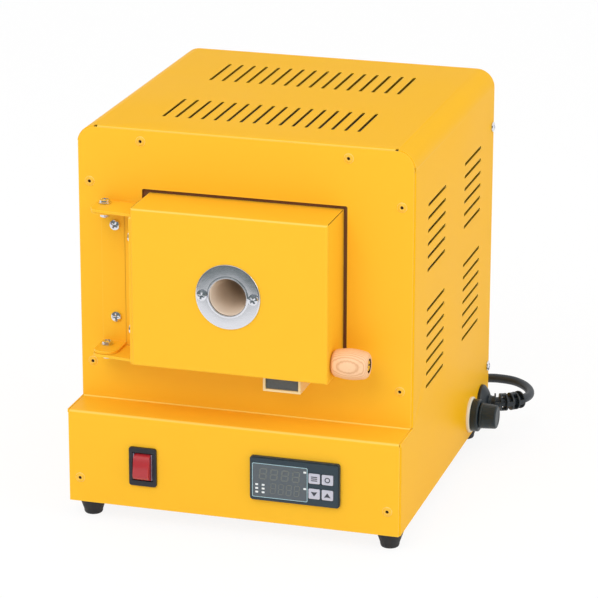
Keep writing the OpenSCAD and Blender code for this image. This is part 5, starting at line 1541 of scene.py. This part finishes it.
@dataclass
class Studio:
    """Camera, lamps, floor and surroundings."""

    position: tuple[float, float, float] = (0.68413, -2.31754, 0.95244)
    yaw: float = 16.459
    pitch: float = -18.357
    roll: float = 0.108
    focal_px: float = 3164.89
    sensor: float = 36.0
    card_y: float = -730.0
    world_level: float = 0.76
    key_level: float = 24.5
    fill_share: float = 0.32
    aim: tuple[float, float, float] = (0.0, 0.0, 0.15)

    def build(self) -> None:
        """Make everything round the furnace."""
        self._camera()
        self._floor()
        self._card()
        self._world()
        self._lamps()

    def _camera(self) -> None:
        """Stand the camera where the photograph was taken from."""
        yaw, pitch, roll = (math.radians(v) for v in (self.yaw, self.pitch, self.roll))
        ahead = np.array([-math.sin(yaw) * math.cos(pitch), math.cos(yaw) * math.cos(pitch), math.sin(pitch)])
        right = np.cross(ahead, UPRIGHT)
        right /= np.linalg.norm(right)
        up = np.cross(right, ahead)
        data = bpy.data.cameras.new("Camera")
        data.sensor_width = self.sensor
        data.lens = self.focal_px / PICTURE_SIDE * self.sensor
        data.clip_end = 50.0
        camera = linked("Camera", data)
        stand(camera, right * math.cos(roll) + up * math.sin(roll), up * math.cos(roll) - right * math.sin(roll),
              -ahead, self.position)
        bpy.context.scene.camera = camera

    @staticmethod
    def _screen(name: str, points: Array, finish: str) -> tuple[Object, Graph]:
        """Make a sheet of the stage from a grid of points, and return it with its still empty material's graph."""
        shell = grid_shell(points)
        mesh = bpy.data.meshes.new(name)
        mesh.from_pydata((shell.points * MM).tolist(), [], shell.faces[0].tolist())
        material = bpy.data.materials.new(finish)
        mesh.materials.append(material)
        return linked(name, mesh), emptied(material)

    @staticmethod
    def _blend(g: Graph, factor: object, first: Node, second: Node) -> None:
        """Send a mix of two shaders to the surface."""
        shown = g.add("MixShader", {0: factor, 1: first.outputs[0], 2: second.outputs[0]})
        g.add("OutputMaterial", {"Surface": shown.outputs[0]})

    def _floor(self) -> None:
        """Lay a pale floor that turns up far behind, white to the camera where nothing shades it."""
        front, level_to, bend, top = -4000.0, 3000.0, 1500.0, 5000.0
        turn = np.linspace(0.0, np.pi / 2, 17)
        depth = np.concatenate([[front], level_to + bend * np.sin(turn), [level_to + bend]])
        height = np.concatenate([[0.0], bend * (1 - np.cos(turn)), [top]])
        wide = np.linspace(-6000.0, 6000.0, 9)
        points = np.stack(np.broadcast_arrays(wide[None, :], depth[:, None], height[:, None]), axis=-1)
        backdrop, g = self._screen("Backdrop", points, "Backdrop_white")
        matt = g.add("BsdfDiffuse", {"Color": (0.92, 0.92, 0.92, 1.0)})
        glow = g.add("Emission", {"Color": (1.0, 1.0, 1.0, 1.0), "Strength": 1.03})
        self._blend(g, g.math("MULTIPLY", self._shown(g), 0.86), matt, glow)

    @staticmethod
    def _shown(g: Graph) -> NodeSocket:
        """Give 1 for rays from the camera, off gloss and through glass, and 0 for the light on matt surfaces."""
        path = g.add("LightPath").outputs
        return g.math("MAXIMUM", path["Is Camera Ray"],
                      g.math("MAXIMUM", path["Is Glossy Ray"], path["Is Transmission Ray"]))

    def _card(self) -> None:
        """Stand a dark card in front, on the bench, that only gloss shows: it gives bright metal its dark tones."""
        x, z = np.meshgrid([-1500.0, 1200.0], [0.0, 1300.0], indexing="ij")
        card, g = self._screen("Dark_card", np.stack([x, np.full_like(x, self.card_y), z], axis=-1), "Card_slate")
        dark = g.add("Emission", {"Color": (0.17, 0.2, 0.2, 1.0), "Strength": 1.0})
        self._blend(g, g.add("LightPath").outputs["Is Glossy Ray"], g.add("BsdfTransparent"), dark)

    def _world(self) -> None:
        """Light the surroundings: white to the camera and in gloss, and a plain level on matt surfaces."""
        world = bpy.data.worlds.new("Studio")
        bpy.context.scene.world = world
        g = emptied(world)
        level = g.math("MAXIMUM", self._shown(g), self.world_level)
        back = g.add("Background", {"Color": (1.0, 1.0, 1.0, 1.0), "Strength": level})
        g.add("OutputWorld", {"Surface": back.outputs[0]})

    def _lamps(self) -> None:
        """Hang a large soft lamp above and to the left of the camera, and a weaker one at the right."""
        for name, at, size, level in (("Key_lamp", (-0.4, -2.2, 2.1), 1.6, self.key_level),
                                      ("Fill_lamp", (1.9, -0.4, 1.2), 1.2, self.key_level * self.fill_share)):
            data = bpy.data.lights.new(name, "AREA")
            data.shape = "SQUARE"
            data.size = size
            data.energy = level
            back = np.array(at) - self.aim
            back /= np.linalg.norm(back)
            side = np.cross(UPRIGHT, back)
            side /= np.linalg.norm(side)
            stand(linked(name, data), side, np.cross(back, side), back, at)


def main() -> None:
    """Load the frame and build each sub-assembly in order."""
    logging.basicConfig(level=logging.INFO, format="%(name)s: %(message)s")
    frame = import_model()
    scene = bpy.context.scene
    scene.view_settings.view_transform = "Standard"
    shop = Workshop(frame)
    hardware = Hardware()
    Studio().build()
    MainsLead(shop).build()
    Casing(shop, hardware).build()
    Door(shop, hardware).build()
    Catch(shop).build()
    RockerSwitch(shop).build()
    Controller(shop).build()
    FuseHolder(shop).build()
    Chamber(shop).build()
    Works(shop).build()
    LOG.info("%d pieces made", len(shop.made))


if __name__ == "__main__":
    main()
